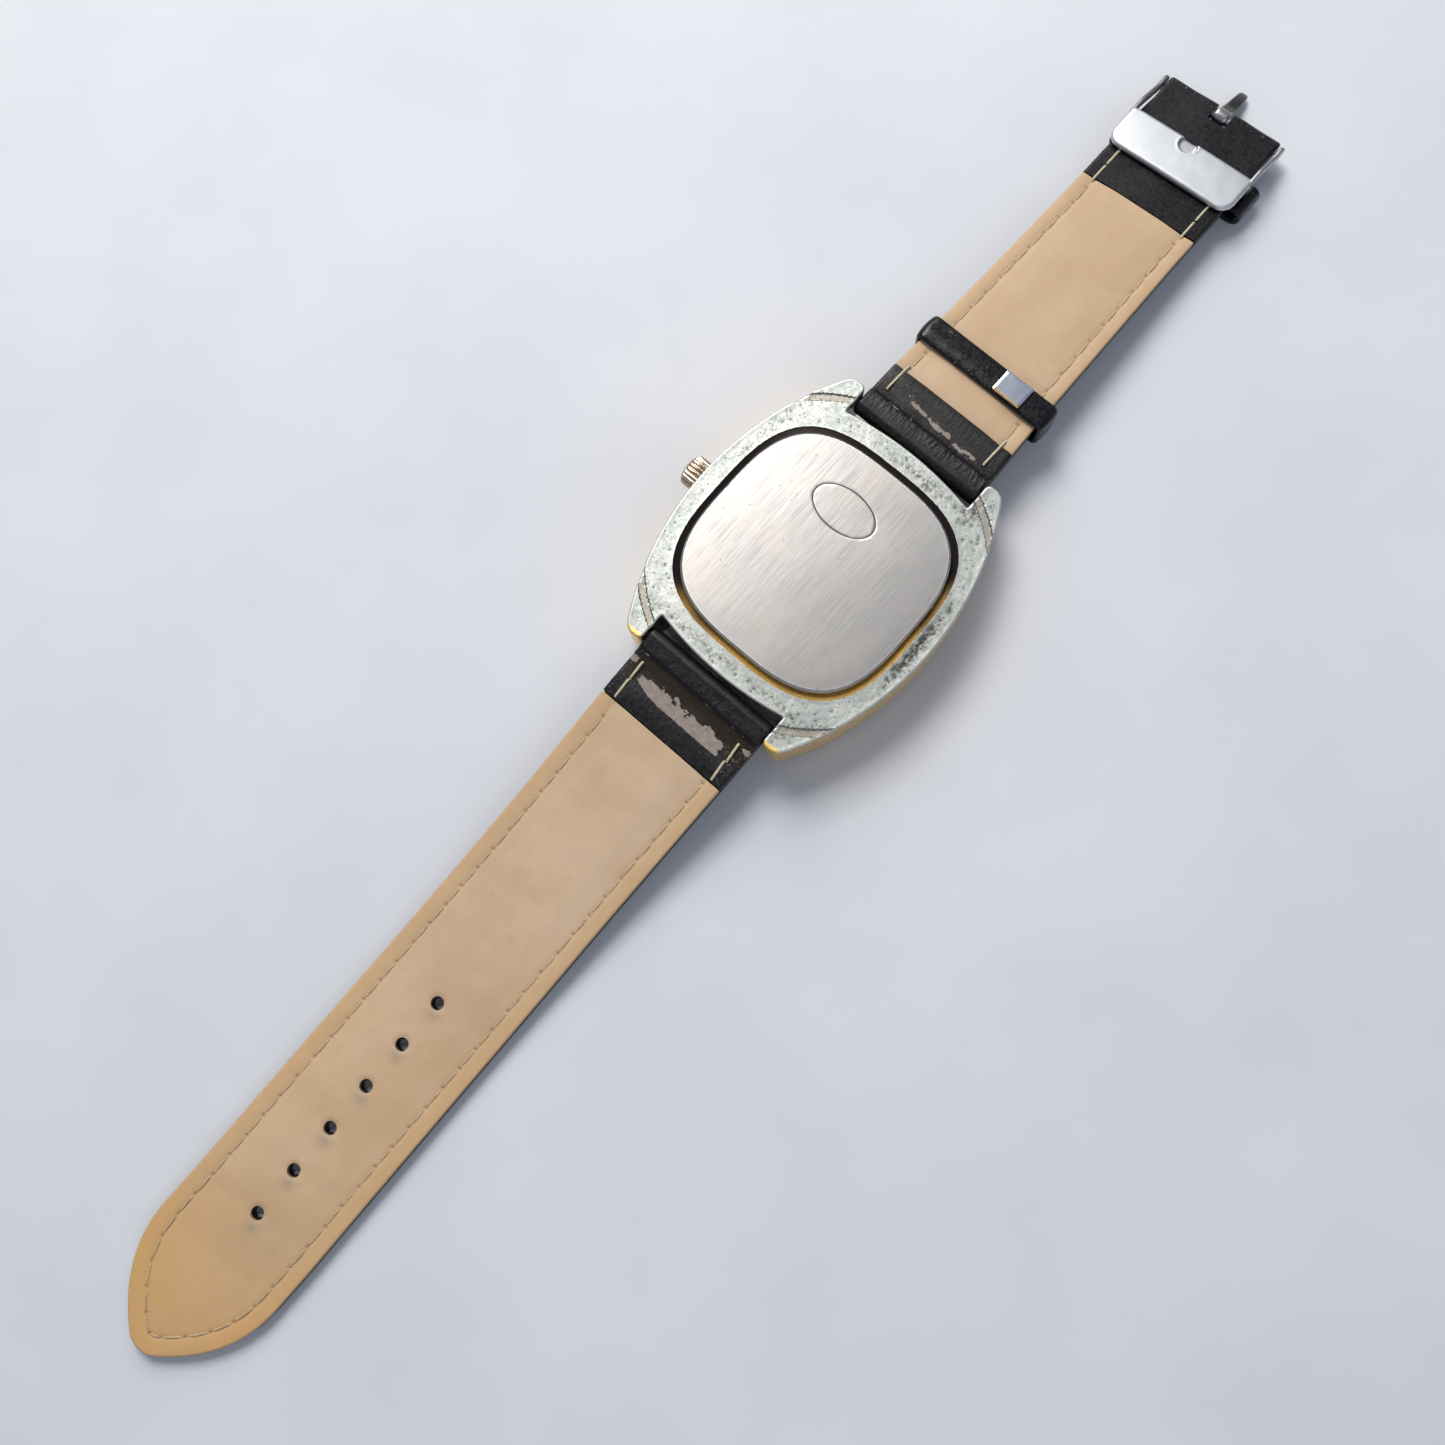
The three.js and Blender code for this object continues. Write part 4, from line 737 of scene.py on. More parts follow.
def front_z(x, y):
    """Height of the case's front, which rises towards the lugs' tips and the flanks."""
    length = BEZEL_Z + (LUG_TIP_Z - BEZEL_Z) * ramp(np.abs(y), BEZEL_HALF, LUG_END) ** 1.5
    width = BEZEL_Z + (FLANK_Z - BEZEL_Z) * ramp(np.abs(x), BEZEL_HALF, CASE_HALF) ** 1.6
    return np.maximum(length, width)


def pits():
    """Centres, radii and depths of the casting's pits, which crowd near one flank and the lugs."""
    found = []

    def scatter(count, cx, cy, sx, sy, r0, r1):
        for _ in range(count):
            found.append((rng.gauss(cx, sx), rng.gauss(cy, sy), rng.uniform(r0, r1), rng.uniform(0.02, 0.06)))

    for _ in range(230):
        a, d = rng.uniform(0, 2 * math.pi), rng.uniform(14.5, 23)
        found.append((d * math.cos(a), d * math.sin(a), rng.uniform(0.12, 0.2), rng.uniform(0.01, 0.04)))
    scatter(60, 16.75, 0.0, 0.3, 3.2, 0.16, 0.36)
    scatter(30, 10.8, 17.6, 1.2, 0.9, 0.08, 0.22)
    scatter(36, 5, 17.1, 3.5, 0.6, 0.08, 0.2)
    scatter(26, -15.6, 8, 0.7, 4, 0.08, 0.2)
    scatter(30, 0, -17.3, 6, 0.5, 0.08, 0.2)
    scatter(22, 11.2, -19.5, 0.7, 1.3, 0.08, 0.2)
    return found


def ring_band(r):
    """1 on the turned step across the lugs, and 0 off it; r is the distance from the middle."""
    return smooth(r, *RING_IN) * (1 - smooth(r, *RING_OUT))


def grime_at(x, y):
    """Where dirt has gathered in the casting: by one flank, at the lugs' roots and by the slots."""
    grime = 0.95 * bell(x, 16.75, 0.8) * bell(y, 0.0, 5.5)
    grime = grime + 0.6 * bell(x, 10.6, 1.8) * bell(y, 18.2, 1.4)
    grime = grime + 0.5 * bell(y, 17.2, 0.7) * bell(x, 3, 8) + 0.4 * bell(y, -17.0, 0.6)
    return clamp(grime + 0.35 * bell(x, -15.8, 0.8) * bell(y, 8, 5))


def make_case():
    """The case: a pitted back, gilt flanks and front, and the opening for the cover and the crystal."""
    outline = case_outline()
    edge, soft = 0.2, 0.3  # rounding of the back's edge and of the front's
    top_loop = inset(outline, edge)
    opening = squircle(OPENING + CHAMFER, FINE)
    arcs = []
    for r in (RING_IN[0] - 0.02, RING_IN[1], RING_OUT[0], RING_OUT[1] + 0.02):
        arc = r * circle(int(2 * math.pi * r / 0.3))
        arc = arc[inside(arc, top_loop)]
        arcs.append(arc[distance(arc, top_loop) > 0.1])
    build = Build()
    rings = [inset(top_loop, 0.14), squircle(OPENING + CHAMFER + 0.12, FINE)]
    flat, tris, loops = fill(top_loop, [opening], rings, pitch=0.27, clear=0.12, extra=np.vstack(arcs))
    x, y = flat.T
    band = ring_band(np.hypot(x, y))
    rough = 0.016 * field(x, y, 0.7, 3) + 0.016 * field(x, y, 2.0, 7)
    sunk = np.zeros(len(x))
    dark = np.zeros(len(x))
    for cx, cy, pr, depth in pits():
        near = np.hypot(x - cx, y - cy) / pr
        sunk = np.maximum(sunk, depth * np.exp(-(near**2)))
        dark = np.maximum(dark, np.exp(-((near * 1.05) ** 2)))
    from_opening, from_edge = distance(flat, opening), distance(flat, top_loop)
    calm = smooth(distance(flat, outline), 0.2, 0.6) * smooth(from_opening, 0.0, 0.35)
    z = CASE_TOP - RING_DEPTH * band + calm * (rough * (1 - 0.85 * band) - sunk) - 0.02 * calm
    # A painted highlight along the back's outer edge and round the opening.
    rim = clamp(0.8 * (1 - smooth(from_opening, 0.0, 0.16)) + 0.45 * (1 - smooth(from_edge, 0, 0.16)))
    build.add(
        at_z(flat, z),
        tris,
        pit=dark * calm * (1 - band),
        band=band,
        rim=rim * (1 - band),
        grime=grime_at(x, y),
        gilt=smooth(-y, *GILT_FROM),
    )
    # The flanks: down from the raw back's rounded edge to the front.
    top_edge = CASE_TOP - RING_DEPTH * ring_band(np.hypot(*outline.T))
    rows = [at_z(top_loop, z[loops[0]])]
    for part in (0.35, 0.7, 1.0):
        a = part * math.pi / 2
        rows.append(at_z(inset(outline, edge * (1 - math.sin(a))), top_edge - edge * (1 - math.cos(a))))
    low = front_z(*outline.T)
    # Painted highlight on the back's rounded edge.
    loft(build, rows, rim=0.7, gilt=np.tile(smooth(-outline[:, 1], *GILT_FROM), len(rows)))
    rows = [rows[-1]]
    for part in (0.12, 0.3, 0.5, 0.7, 0.88, 1.0):
        rows.append(at_z(outline, mix(top_edge - edge, low + soft, part)))
    for part in (0.35, 0.7, 1.0):
        a = part * math.pi / 2
        rows.append(at_z(inset(outline, soft * (1 - math.cos(a))), low + soft * (1 - math.sin(a))))
    front_loop = inset(outline, soft)
    rows[-1][:, 2] = front_z(*front_loop.T)
    # Painted dark reflection on the walls of the lug slots.
    slot = (np.abs(outline[:, 0]) < LUG_INNER + 0.1) & (np.abs(outline[:, 1]) > SLOT_LUG - 0.1)
    loft(build, rows, 1, navy=0.93 * np.tile(slot, len(rows)))
    mouth = squircle(CRYSTAL_HALF + 0.4, FINE)
    flat, tris, _ = fill(front_loop, [mouth], pitch=0.8, clear=0.35)
    build.add(at_z(flat, front_z(*flat.T)), tris[:, ::-1], 1)
    # The opening's polished chamfer and everything below it, down to the crystal's seat.
    gasket_half, gasket_z, cavity_low, seat = 14.2, 7.4, 3.2, CRYSTAL_T + 0.05
    steps = [
        (OPENING + CHAMFER, CASE_TOP),
        (OPENING + CHAMFER - 0.05, CASE_TOP - 0.07),
        (OPENING + 0.1, LEDGE_Z + 0.06),
        (OPENING, LEDGE_Z),
        (gasket_half, LEDGE_Z),
        (gasket_half, gasket_z),
        (CAVITY, gasket_z),
        (CAVITY, cavity_low),
        (DIAL_OPENING, cavity_low),
        (DIAL_OPENING, seat),
        (CRYSTAL_HALF + 0.4, seat),
        (CRYSTAL_HALF + 0.4, BEZEL_Z),
    ]
    rows = [at_z(squircle(half, FINE), height) for half, height in steps]
    rows[0][:, 2] = z[loops[1]]
    # A dark reflection is painted on the chamfer's side towards the crown and the short strap, a bronze
    # reflection is painted between, and the other side is gilt.
    up = np.array([-math.sin(math.radians(41)), math.cos(math.radians(41))])
    side = rows[0][:, :2] @ up / np.hypot(*rows[0][:, :2].T)
    navy = np.tile(0.96 * smooth(side, -0.42, -0.1), len(rows))
    bronze = np.tile(0.7 * bell(side, -0.45, 0.16), len(rows))
    loft(build, rows, 1, navy=navy, bronze=bronze)
    build.object("case_shell", [CASTING, GOLD], "case", ["case_body"], weld=2e-4)


def make_cover():
    """The back cover: a brushed plate with a chamfered edge and one engraved oval."""
    build = Build()
    edge, thickness = 0.25, 0.8
    oval, size = np.array((-1.4, 7.2)), np.array((4.6, 2.75))  # its middle and half-axes
    line = 0.055
    rings = [circle(150) * (size + k * line) + oval for k in (-2, -1, 0, 1, 2)]
    loop = squircle(COVER_HALF - edge, FINE)
    flat, tris, loops = fill(loop, [], [inset(loop, 0.12), *rings], pitch=0.42, clear=0.05)
    x, y = flat.T
    off = np.abs(np.hypot(*((flat - oval) / size).T) - 1) * np.hypot(*(flat - oval).T)
    groove = 1 - smooth(off, 0.02, 0.075)
    from_edge = distance(flat, loop)
    dents = 0.012 * field(x, y, 0.12, 5) + 0.004 * field(x, y, 0.5, 2)
    z = COVER_Z - 0.02 + dents * smooth(from_edge, 0, 1.5) - 0.05 * groove
    # A painted highlight along the edge of the cover's face.
    build.add(at_z(flat, z), tris, dark=0.85 * groove, rim=0.5 * (1 - smooth(from_edge, 0, 0.14)))
    rows = [at_z(loop, z[loops[0]])]
    for half, height in (
        (COVER_HALF - 0.06, COVER_Z - edge + 0.03),
        (COVER_HALF, COVER_Z - edge - 0.04),
        (COVER_HALF, LEDGE_Z + 0.1),
        (COVER_HALF - 0.06, LEDGE_Z + 0.05),
        (CAVITY - 0.15, LEDGE_Z + 0.05),
        (CAVITY - 0.15, 7.5),
        (CAVITY - 0.2, 7.45),
        (CAVITY - 0.7, 7.45),
        (CAVITY - 0.75, 7.5),
        (CAVITY - 0.75, COVER_Z - thickness),
    ):
        rows.append(at_z(squircle(half, FINE), height))
    # Painted highlight on the cover's chamfered edge.
    loft(build, rows, rim=np.repeat([0.8] * 3 + [0.0] * 8, FINE))
    under, tris, _ = fill(squircle(CAVITY - 0.75, FINE), pitch=1.2, clear=0.5)
    build.add(at_z(under, COVER_Z - thickness), tris[:, ::-1])
    build.object("back_cover_plate", STEEL, "back_cover", ["case_back_cover"])


def make_crown():
    """A fluted knob with a turned collar, a domed end and worn ridges."""
    build = Build()
    flutes, per = 20, 12
    count = flutes * per
    turn = 2 * math.pi * np.arange(count) / count
    ridge = np.abs(np.cos(flutes * turn / 2)) ** 0.8

    def loop(r, x, depth):
        radius = r - depth * (1 - ridge)
        return np.column_stack([np.full(count, -x), radius * np.cos(turn), CROWN_Z + radius * np.sin(turn)])

    outside = [
        (2.0, CROWN_IN, 0.0),
        (2.12, CROWN_IN + 0.06, 0.05),
        (CROWN_R, CROWN_IN + 0.2, 0.24),
        (CROWN_R, CROWN_OUT - 0.95, 0.24),
        (2.16, CROWN_OUT - 0.72, 0.2),
        (2.05, CROWN_OUT - 0.55, 0.08),
        (1.9, CROWN_OUT - 0.42, 0.0),
        (1.6, CROWN_OUT - 0.26, 0.0),
        (1.15, CROWN_OUT - 0.11, 0.0),
        (0.6, CROWN_OUT - 0.03, 0.0),
        (0.06, CROWN_OUT, 0.0),
    ]
    hollow, bore, wall = 1.62, 0.62, 0.6  # the room for the seal, the stem's bore, and the end's thickness
    inner = [
        (0.06, CROWN_OUT - wall),
        (bore, CROWN_OUT - wall),
        (bore, CROWN_IN + 1.2),
        (hollow, CROWN_IN + 1.2),
        (hollow, CROWN_IN),
    ]
    loops = [loop(r, x, 0.0) for r, x in inner] + [loop(*o) for o in outside]
    loft(build, loops, caps=True)
    build.object("crown_knob", CROWN, "crown_and_stem", ["crown"])


# ---------- straps ----------
def columns(half, count):
    """Places across a strap from -1 to 1, closer together at the edges."""
    fine = np.array([0.0, 0.05, 0.14, 0.3, 0.5]) / half
    middle = np.linspace(0.8 / half, 2 - 0.8 / half, count)
    return np.concatenate([fine, middle, (2 - fine)[::-1]]) - 1


def loop_points(y, z, r, towards, steps):
    """Half a turn round a bar in the side view, without its two ends."""
    a = -math.pi / 2 + towards * math.pi * np.arange(1, steps) / steps
    return np.column_stack([y + r * np.cos(a), z + r * np.sin(a)])


def bore_gap(s, bar, bore):
    """Half the height of a bar's bore at s, and 0 beside it."""
    return np.sqrt(np.maximum(bore**2 - (s - bar) ** 2, 0))


def mirrored(half, s):
    """The outline of a strap from half its width at each s: up its right side, down its left side."""
    return np.vstack([np.column_stack([half, s]), np.column_stack([-half, s])[::-1]])


def on_long(points):
    """Places points drawn along +Y on the long strap, which lies along -Y."""
    return sway(points * (1, -1, 1))


def long_face():
    """Side view of the black face leather: along under the lining, round the bar, and back above.

    Returns the places, the heights, the thickness, and the rows where the turn round the bar starts and ends.
    """
    tip = np.array([0, 0.05, 0.12, 0.25, 0.5, 0.8, 1.2, 1.8, 2.6, 3.6, 5, 7, 9, 11.5, ARCH])
    straights = [np.linspace(108, 70, 146), np.linspace(69.5, 34, 26), np.linspace(33, BAR_Y, 44)]
    below = np.concatenate([LONG_TIP - 0.04 - tip, *straights])
    arc = loop_points(BAR_Y, BAR_Z, LOOP_R, -1, 18)
    above = np.linspace(BAR_Y, LONG_FOLD - 0.05, 56)
    play = np.where(below > LONG_FOLD + 0.2, 0, LAYER_PLAY)
    t_below = long_thick(below) / 2 - np.maximum(bore_gap(below, BAR_Y, BAR_R), play)
    t_above = long_thick(above) / 2 - np.maximum(bore_gap(above, BAR_Y, BAR_R), LAYER_PLAY)
    s = np.concatenate([below, arc[:, 0], above])
    z = np.concatenate([long_low(below), arc[:, 1], long_low(above) + long_thick(above)])
    t = np.concatenate([t_below, np.full(len(arc), LOOP_R - BAR_R), t_above])
    return s, z, t, len(below), len(below) + len(arc)


def long_width(s):
    """Half the width of the long strap, with its pointed arch."""
    straight = mix(STRAP_HALF, LONG_HALF, ramp(s, 26, 50))
    t = np.linspace(0, 1, 80)
    a = np.array([LONG_HALF, TIP_START])
    b = np.array([LONG_HALF, TIP_START + 8.2])
    c = np.array([1.6, LONG_TIP - 0.3])
    d = np.array([0.0, LONG_TIP + 0.3])
    e = np.array([-1.6, LONG_TIP - 0.3])
    first = np.outer((1 - t) ** 2, a) + np.outer(2 * t * (1 - t), b) + np.outer(t**2, c)
    h = t[:40] / t[39] * 0.5
    second = np.outer((1 - h) ** 2, c) + np.outer(2 * h * (1 - h), d) + np.outer(h**2, e)
    curve = np.vstack([first, second[1:]])
    return np.where(s < TIP_START, straight, np.interp(s, curve[:, 1], curve[:, 0]))


def skins(x, s, z, normal, lift, thick):
    """Outer and inner grids of a face leather, moved along the normals (ns, nz) of its side view."""
    ns, nz = (part[:, None] for part in normal)
    z = z[:, None]
    outer = np.stack([x, s + ns * lift, z + nz * lift], 2)
    inner = np.stack([x, s - ns * thick, z - nz * thick], 2)
    return outer, inner


def long_wear(x, s, wobble):
    """Wear of the leather that is turned over the long strap's lug bar."""
    ragged = field(x, s, (0.9, 1.6), 71)
    ending = 26.5 + 0.35 * wobble - 0.9 * bell(x, -8, 2.5)
    low_side = 1 - smooth(s, ending, ending + 0.25)
    high_side = smooth(s + 0.9 * ragged, 24.0, 25.6)
    worn = 1.15 * low_side * high_side * (1 - smooth(np.abs(x + 0.3) + 0.6 * ragged, 6.2, 7.4))
    worn += 0.85 * bell(s, 23.9, 0.5) * smooth(np.abs(x), 8.0, 9.2)
    worn += 0.6 * bell(s, 22.62 + 0.2 * wobble, 0.05) * smooth(ragged, 0.0, 0.35)
    brown = 0.95 * smooth(s, 22.5, 22.8) * (1 - smooth(s, 25.2, 26.4))
    scuff = 0.05 + 0.95 * smooth(x, 6.8, 8.6) * smooth(s, 23, 24.5) * (1 - smooth(s, 28, 29.3))
    scuff += 0.5 * smooth(-x, 8, 9.2) * smooth(s, 23, 24.5)
    scuff += 0.6 * high_side * (1 - smooth(s, 25.6, 26.2))
    wrinkled = bell(s, 22.0, 1.1) + 0.35 * smooth(s, 26, 27)
    return worn, brown, scuff, wrinkled


def make_long_face():
    side, z, t, arc_start, arc_end = long_face()
    half = long_width(side)[:, None]
    u = columns(STRAP_HALF, 84)
    # The strip is drawn from below, round the bar and back above, so its left side faces out.
    ds, dz = np.gradient(side), np.gradient(z)
    size = np.hypot(ds, dz)
    s = np.repeat(side[:, None], len(u), 1)
    x = half * u
    row = np.arange(len(side))[:, None]
    for c in HOLES:
        far = np.hypot(x, s - c)
        pull = np.where((np.abs(far - HOLE_R) < 0.14) & (row < arc_start), HOLE_R / np.maximum(far, 0.1), 1)
        x, s = x * pull, c + (s - c) * pull
    fall = rounding((1 - np.abs(u)) * half, EDGE_R)
    on_top = row >= arc_end
    wobble = field(x[:1], np.zeros_like(x[:1]), 0.35, 4)
    start = 22.2 + 0.2 * wobble
    dip = -0.36 * smooth(s, start, start + 0.65) * (1 - smooth(s, 24.0, 28.5))
    wrinkle = field(x, s, (1.1, 0.35), 11) * bell(s, 21.9, 0.9) * 0.04 + field(x, s, (0.35, 0.6), 17) * 0.04
    bent = on_top | ((row > arc_start + 8) & (row < arc_end))
    lift = np.where(bent, dip + wrinkle - 0.05, 0.02 * field(x, s, 0.5, 9) - 0.03) - fall
    outer, inner = skins(x, s, z, (-dz / size, ds / size), lift, t[:, None] - fall * 0.9)
    keep = np.ones(outer.shape[:2], bool)
    centre = (outer[:-1, :-1] + outer[1:, :-1] + outer[:-1, 1:] + outer[1:, 1:]) / 4
    for c in HOLES:
        gap = np.hypot(centre[:arc_start, :, 0], centre[:arc_start, :, 1] - c)
        keep[:-1, :-1][:arc_start] &= gap > HOLE_R * 0.97
    worn, brown, scuff, wrinkled = long_wear(x, s, wobble)
    build = Build()
    shell(
        build,
        outer,
        inner,
        keep,
        worn=worn * on_top,
        brown=brown * on_top,
        scuff=scuff * (0.3 + 0.7 * on_top),
        wrinkled=wrinkled * on_top,
    )
    build.object(
        "long_strap_leather", LEATHER, "long_strap", ["long_strap_face"], moved=on_long
    )


def lining_run(straight, arch):
    """Places along the long lining, from the fold to the tip and closer together near the tip."""
    t = np.linspace(0, 1, arch)[1:]
    run = [np.linspace(LONG_FOLD + 0.1, TIP_START, straight), TIP_START + ARCH * (1 - (1 - t) ** 2)]
    return np.minimum(np.concatenate(run), LONG_TIP - 0.02)


def needle_marks(x, s, needles):
    """1 in the needle holes, and 0 off them."""
    marks = np.zeros(len(x))
    for c in needles:
        marks = np.maximum(marks, 1 - smooth(np.hypot(x - c[0], s - c[1]), 0.08, 0.3))
    return marks


def beside(line, sides):
    """Copies of a line of points, to help the mesh follow the stitched groove along it."""
    return [line + by * sides for by in (-0.45, -0.22, 0.0, 0.22, 0.45)]


def stitches(build, line, low, thick, pad):
    """Short threads from needle hole to needle hole along a line of (x, s) points."""
    r, gap, sag = 0.13, 0.1, 0.06
    for a, b in zip(line[:-1], line[1:]):
        t = np.linspace(0, 1, 9)
        p = a + np.outer(mix(gap, 1 - gap, t), b - a)
        arch = np.sin(math.pi * t) ** 0.5
        z = low(p[:, 1]) + thick(p[:, 1]) - pad - 0.05 + r * (0.55 * arch - 0.7) - sag * (1 - arch)
        tube(build, np.column_stack([p, z]), r, 7, taper=0.75 + 0.25 * arch)


def laid_thread(build, xs, ends, low, thick, r, deep=0.12, rise=0.05, power=0.5, count=14):
    """One straight thread on top of a strap, whose two ends sink in."""
    s = np.linspace(*ends, count)
    z = low(s) + thick(s) - deep + rise * np.sin(np.linspace(0, math.pi, count)) ** power
    z[[0, -1]] -= 0.2
    tube(build, np.column_stack([np.linspace(*xs, count), s, z]), r)


def make_long_lining():
    run = lining_run(200, 90)
    outline = mirrored(long_width(run) - 0.03, run)
    loop = even(outline, int(length_of(outline) / 0.34))
    # The sides and the arch, without the straight cut at the fold; the stitches run inside them.
    run = lining_run(60, 60)
    path = mirrored(long_width(run), run)
    inner = path + 2.2 * normals(path)
    inner = inner[distance(inner, path, closed=False) > 2.1]
    length = run_of(inner)[-1]
    needles = along(inner, np.arange(0.6, length, STITCH_PITCH))
    line = along(inner, np.linspace(0, length, int(length / 0.3)))
    holes = [circle(28) * (HOLE_R + 0.08) + (0, s) for s in HOLES]
    rims = [circle(28) * r + (0, s) for s in HOLES for r in (HOLE_R + 0.18, HOLE_R + 0.38, HOLE_R + 0.7)]
    rings = [inset(loop, by) for by in (0.06, 0.15, 0.28)]
    extra = np.vstack(beside(line, normals(line)))
    flat, tris, loops = fill(loop, holes, [*rings, *rims], pitch=0.5, clear=0.2, extra=extra)
    x, s = flat.T
    d = distance(flat, path, closed=False)
    pad = 0.22 * smooth(d, 2.5, 6.0) - 0.16
    groove = -0.12 * bell(distance(flat, line, closed=False), 0, 0.36)
    soft = 0.07 * field(x, s, (0.16, 0.3), 21) + 0.035 * field(x, s, 0.5, 31)
    needle = needle_marks(x, s, needles)
    z = long_low(s) + long_thick(s) - rounding(d, EDGE_R) + pad + groove
    z += soft * smooth(d, 0.2, 1.2) * 0.8 - 0.12 * needle
    hole_gap = np.min([np.hypot(x, s - c) for c in HOLES], axis=0) - HOLE_R
    z -= 0.13 * (1 - smooth(hole_gap, 0.05, 0.5)) - 0.03 * bell(hole_gap, 0.8, 0.4)
    # Shallow cross creases where the strap has been buckled, and the cupped tip.
    for c, deep in ((98, 0.05), (104.6, 0.09), (111.2, 0.06)):
        z -= deep * bell(s + 0.12 * x, c, 1.2) * (1 - smooth(np.abs(x), 5, 8))
    z -= 0.16 * bell(np.hypot(x * 0.9, s - 112), 0, 6.5)
    amber = 0.2 * smooth(s, 45, 95) + 0.75 * smooth(s, 98, 122) * (1 - 0.3 * bell(x, 3, 4))
    amber += 0.22 * (1 - smooth(d, 0.5, 3.5))
    grey = 0.75 * np.max([bell(x - 0.5, 0, 0.85) * bell(s, c + 1.3, 0.9) for c in HOLES], axis=0)
    grey += 0.16 * bell(s, 106, 5) * bell(x, 2, 4) + 0.1 * clamp(field(x, s, 0.11, 41))
    build = Build()
    slab(
        build,
        flat,
        tris,
        z,
        long_low(s) + long_thick(s) - LINING_T,
        loops[: 1 + len(holes)],
        above=dict(
            needle=needle,
            margin=0.6 * (1 - smooth(d, 1.6, 2.7)),
            amber=clamp(amber),
            grey=clamp(grey),
            cut_edge=1 - smooth(d, 0.02, 0.2),
        ),
        below=dict(cut_edge=1.0),
        edge=dict(cut_edge=0.9),
        hole=dict(cut_edge=0.3, grey=0.8),
    )
    build.object(
        "long_strap_lining_leather", LINING, "long_strap", ["long_strap_lining"], moved=on_long
    )
    sewn = Build()
    stitches(sewn, needles, long_low, long_thick, 0.16)
    sewn.object("long_strap_stitches", TAN_THREAD, "long_strap", moved=on_long)
    # Two straight runs of cream thread across the turned-over leather.
    cream = Build()
    for xs in ((-8.05, -7.95), (7.85, 8.1)):
        for ends in ((23.6, 26.2), (26.35, 29.2)):
            laid_thread(cream, xs, ends, long_low, long_thick, 0.17)
    cream.object("long_strap_cream_stitches", CREAM, "long_strap", moved=on_long)


def short_face():
    """Side view of the short strap's face leather: from its fold over the lug bar, below, and round the
    buckle's bar to its other fold.

    Returns the places, the heights, the thickness, and the rows where each of the five stretches ends.
    """
    above = np.linspace(SHORT_FOLD - 0.05, BAR_Y, 44)
    lug_turn = loop_points(BAR_Y, BAR_Z, LOOP_R, -1, 18)[::-1]
    below = [np.linspace(BAR_Y, 28, 26), np.linspace(29, 80, 52), np.linspace(80.6, BUCKLE_Y, 20)]
    below = np.concatenate(below)
    buckle_turn = loop_points(BUCKLE_Y, BUCKLE_Z, BUCKLE_LOOP, 1, 16)
    back = np.concatenate([np.linspace(BUCKLE_Y, 80.6, 20), np.linspace(80, SHORT_TURN + 0.05, 40)])

    def layer(v, *bars):
        gaps = [bore_gap(v, bar, bore) for bar, bore in bars]
        return short_thick(v) / 2 - np.max([*gaps, np.full(len(v), LAYER_PLAY)], axis=0)

    lug, buckle = (BAR_Y, BAR_R), (BUCKLE_Y, BUCKLE_BORE)
    stretches = [
        (above, short_low(above) + short_thick(above), layer(above, lug)),
        (lug_turn[:, 0], lug_turn[:, 1], np.full(len(lug_turn), LOOP_R - BAR_R)),
        (below, short_low(below), layer(below, lug, buckle)),
        (buckle_turn[:, 0], buckle_turn[:, 1], np.full(len(buckle_turn), BUCKLE_LOOP - BUCKLE_BORE)),
        (back, short_low(back) + short_thick(back), layer(back, buckle)),
    ]
    s, z, t = (np.concatenate(parts) for parts in zip(*stretches))
    return s, z, t, np.cumsum([len(stretch[0]) for stretch in stretches])


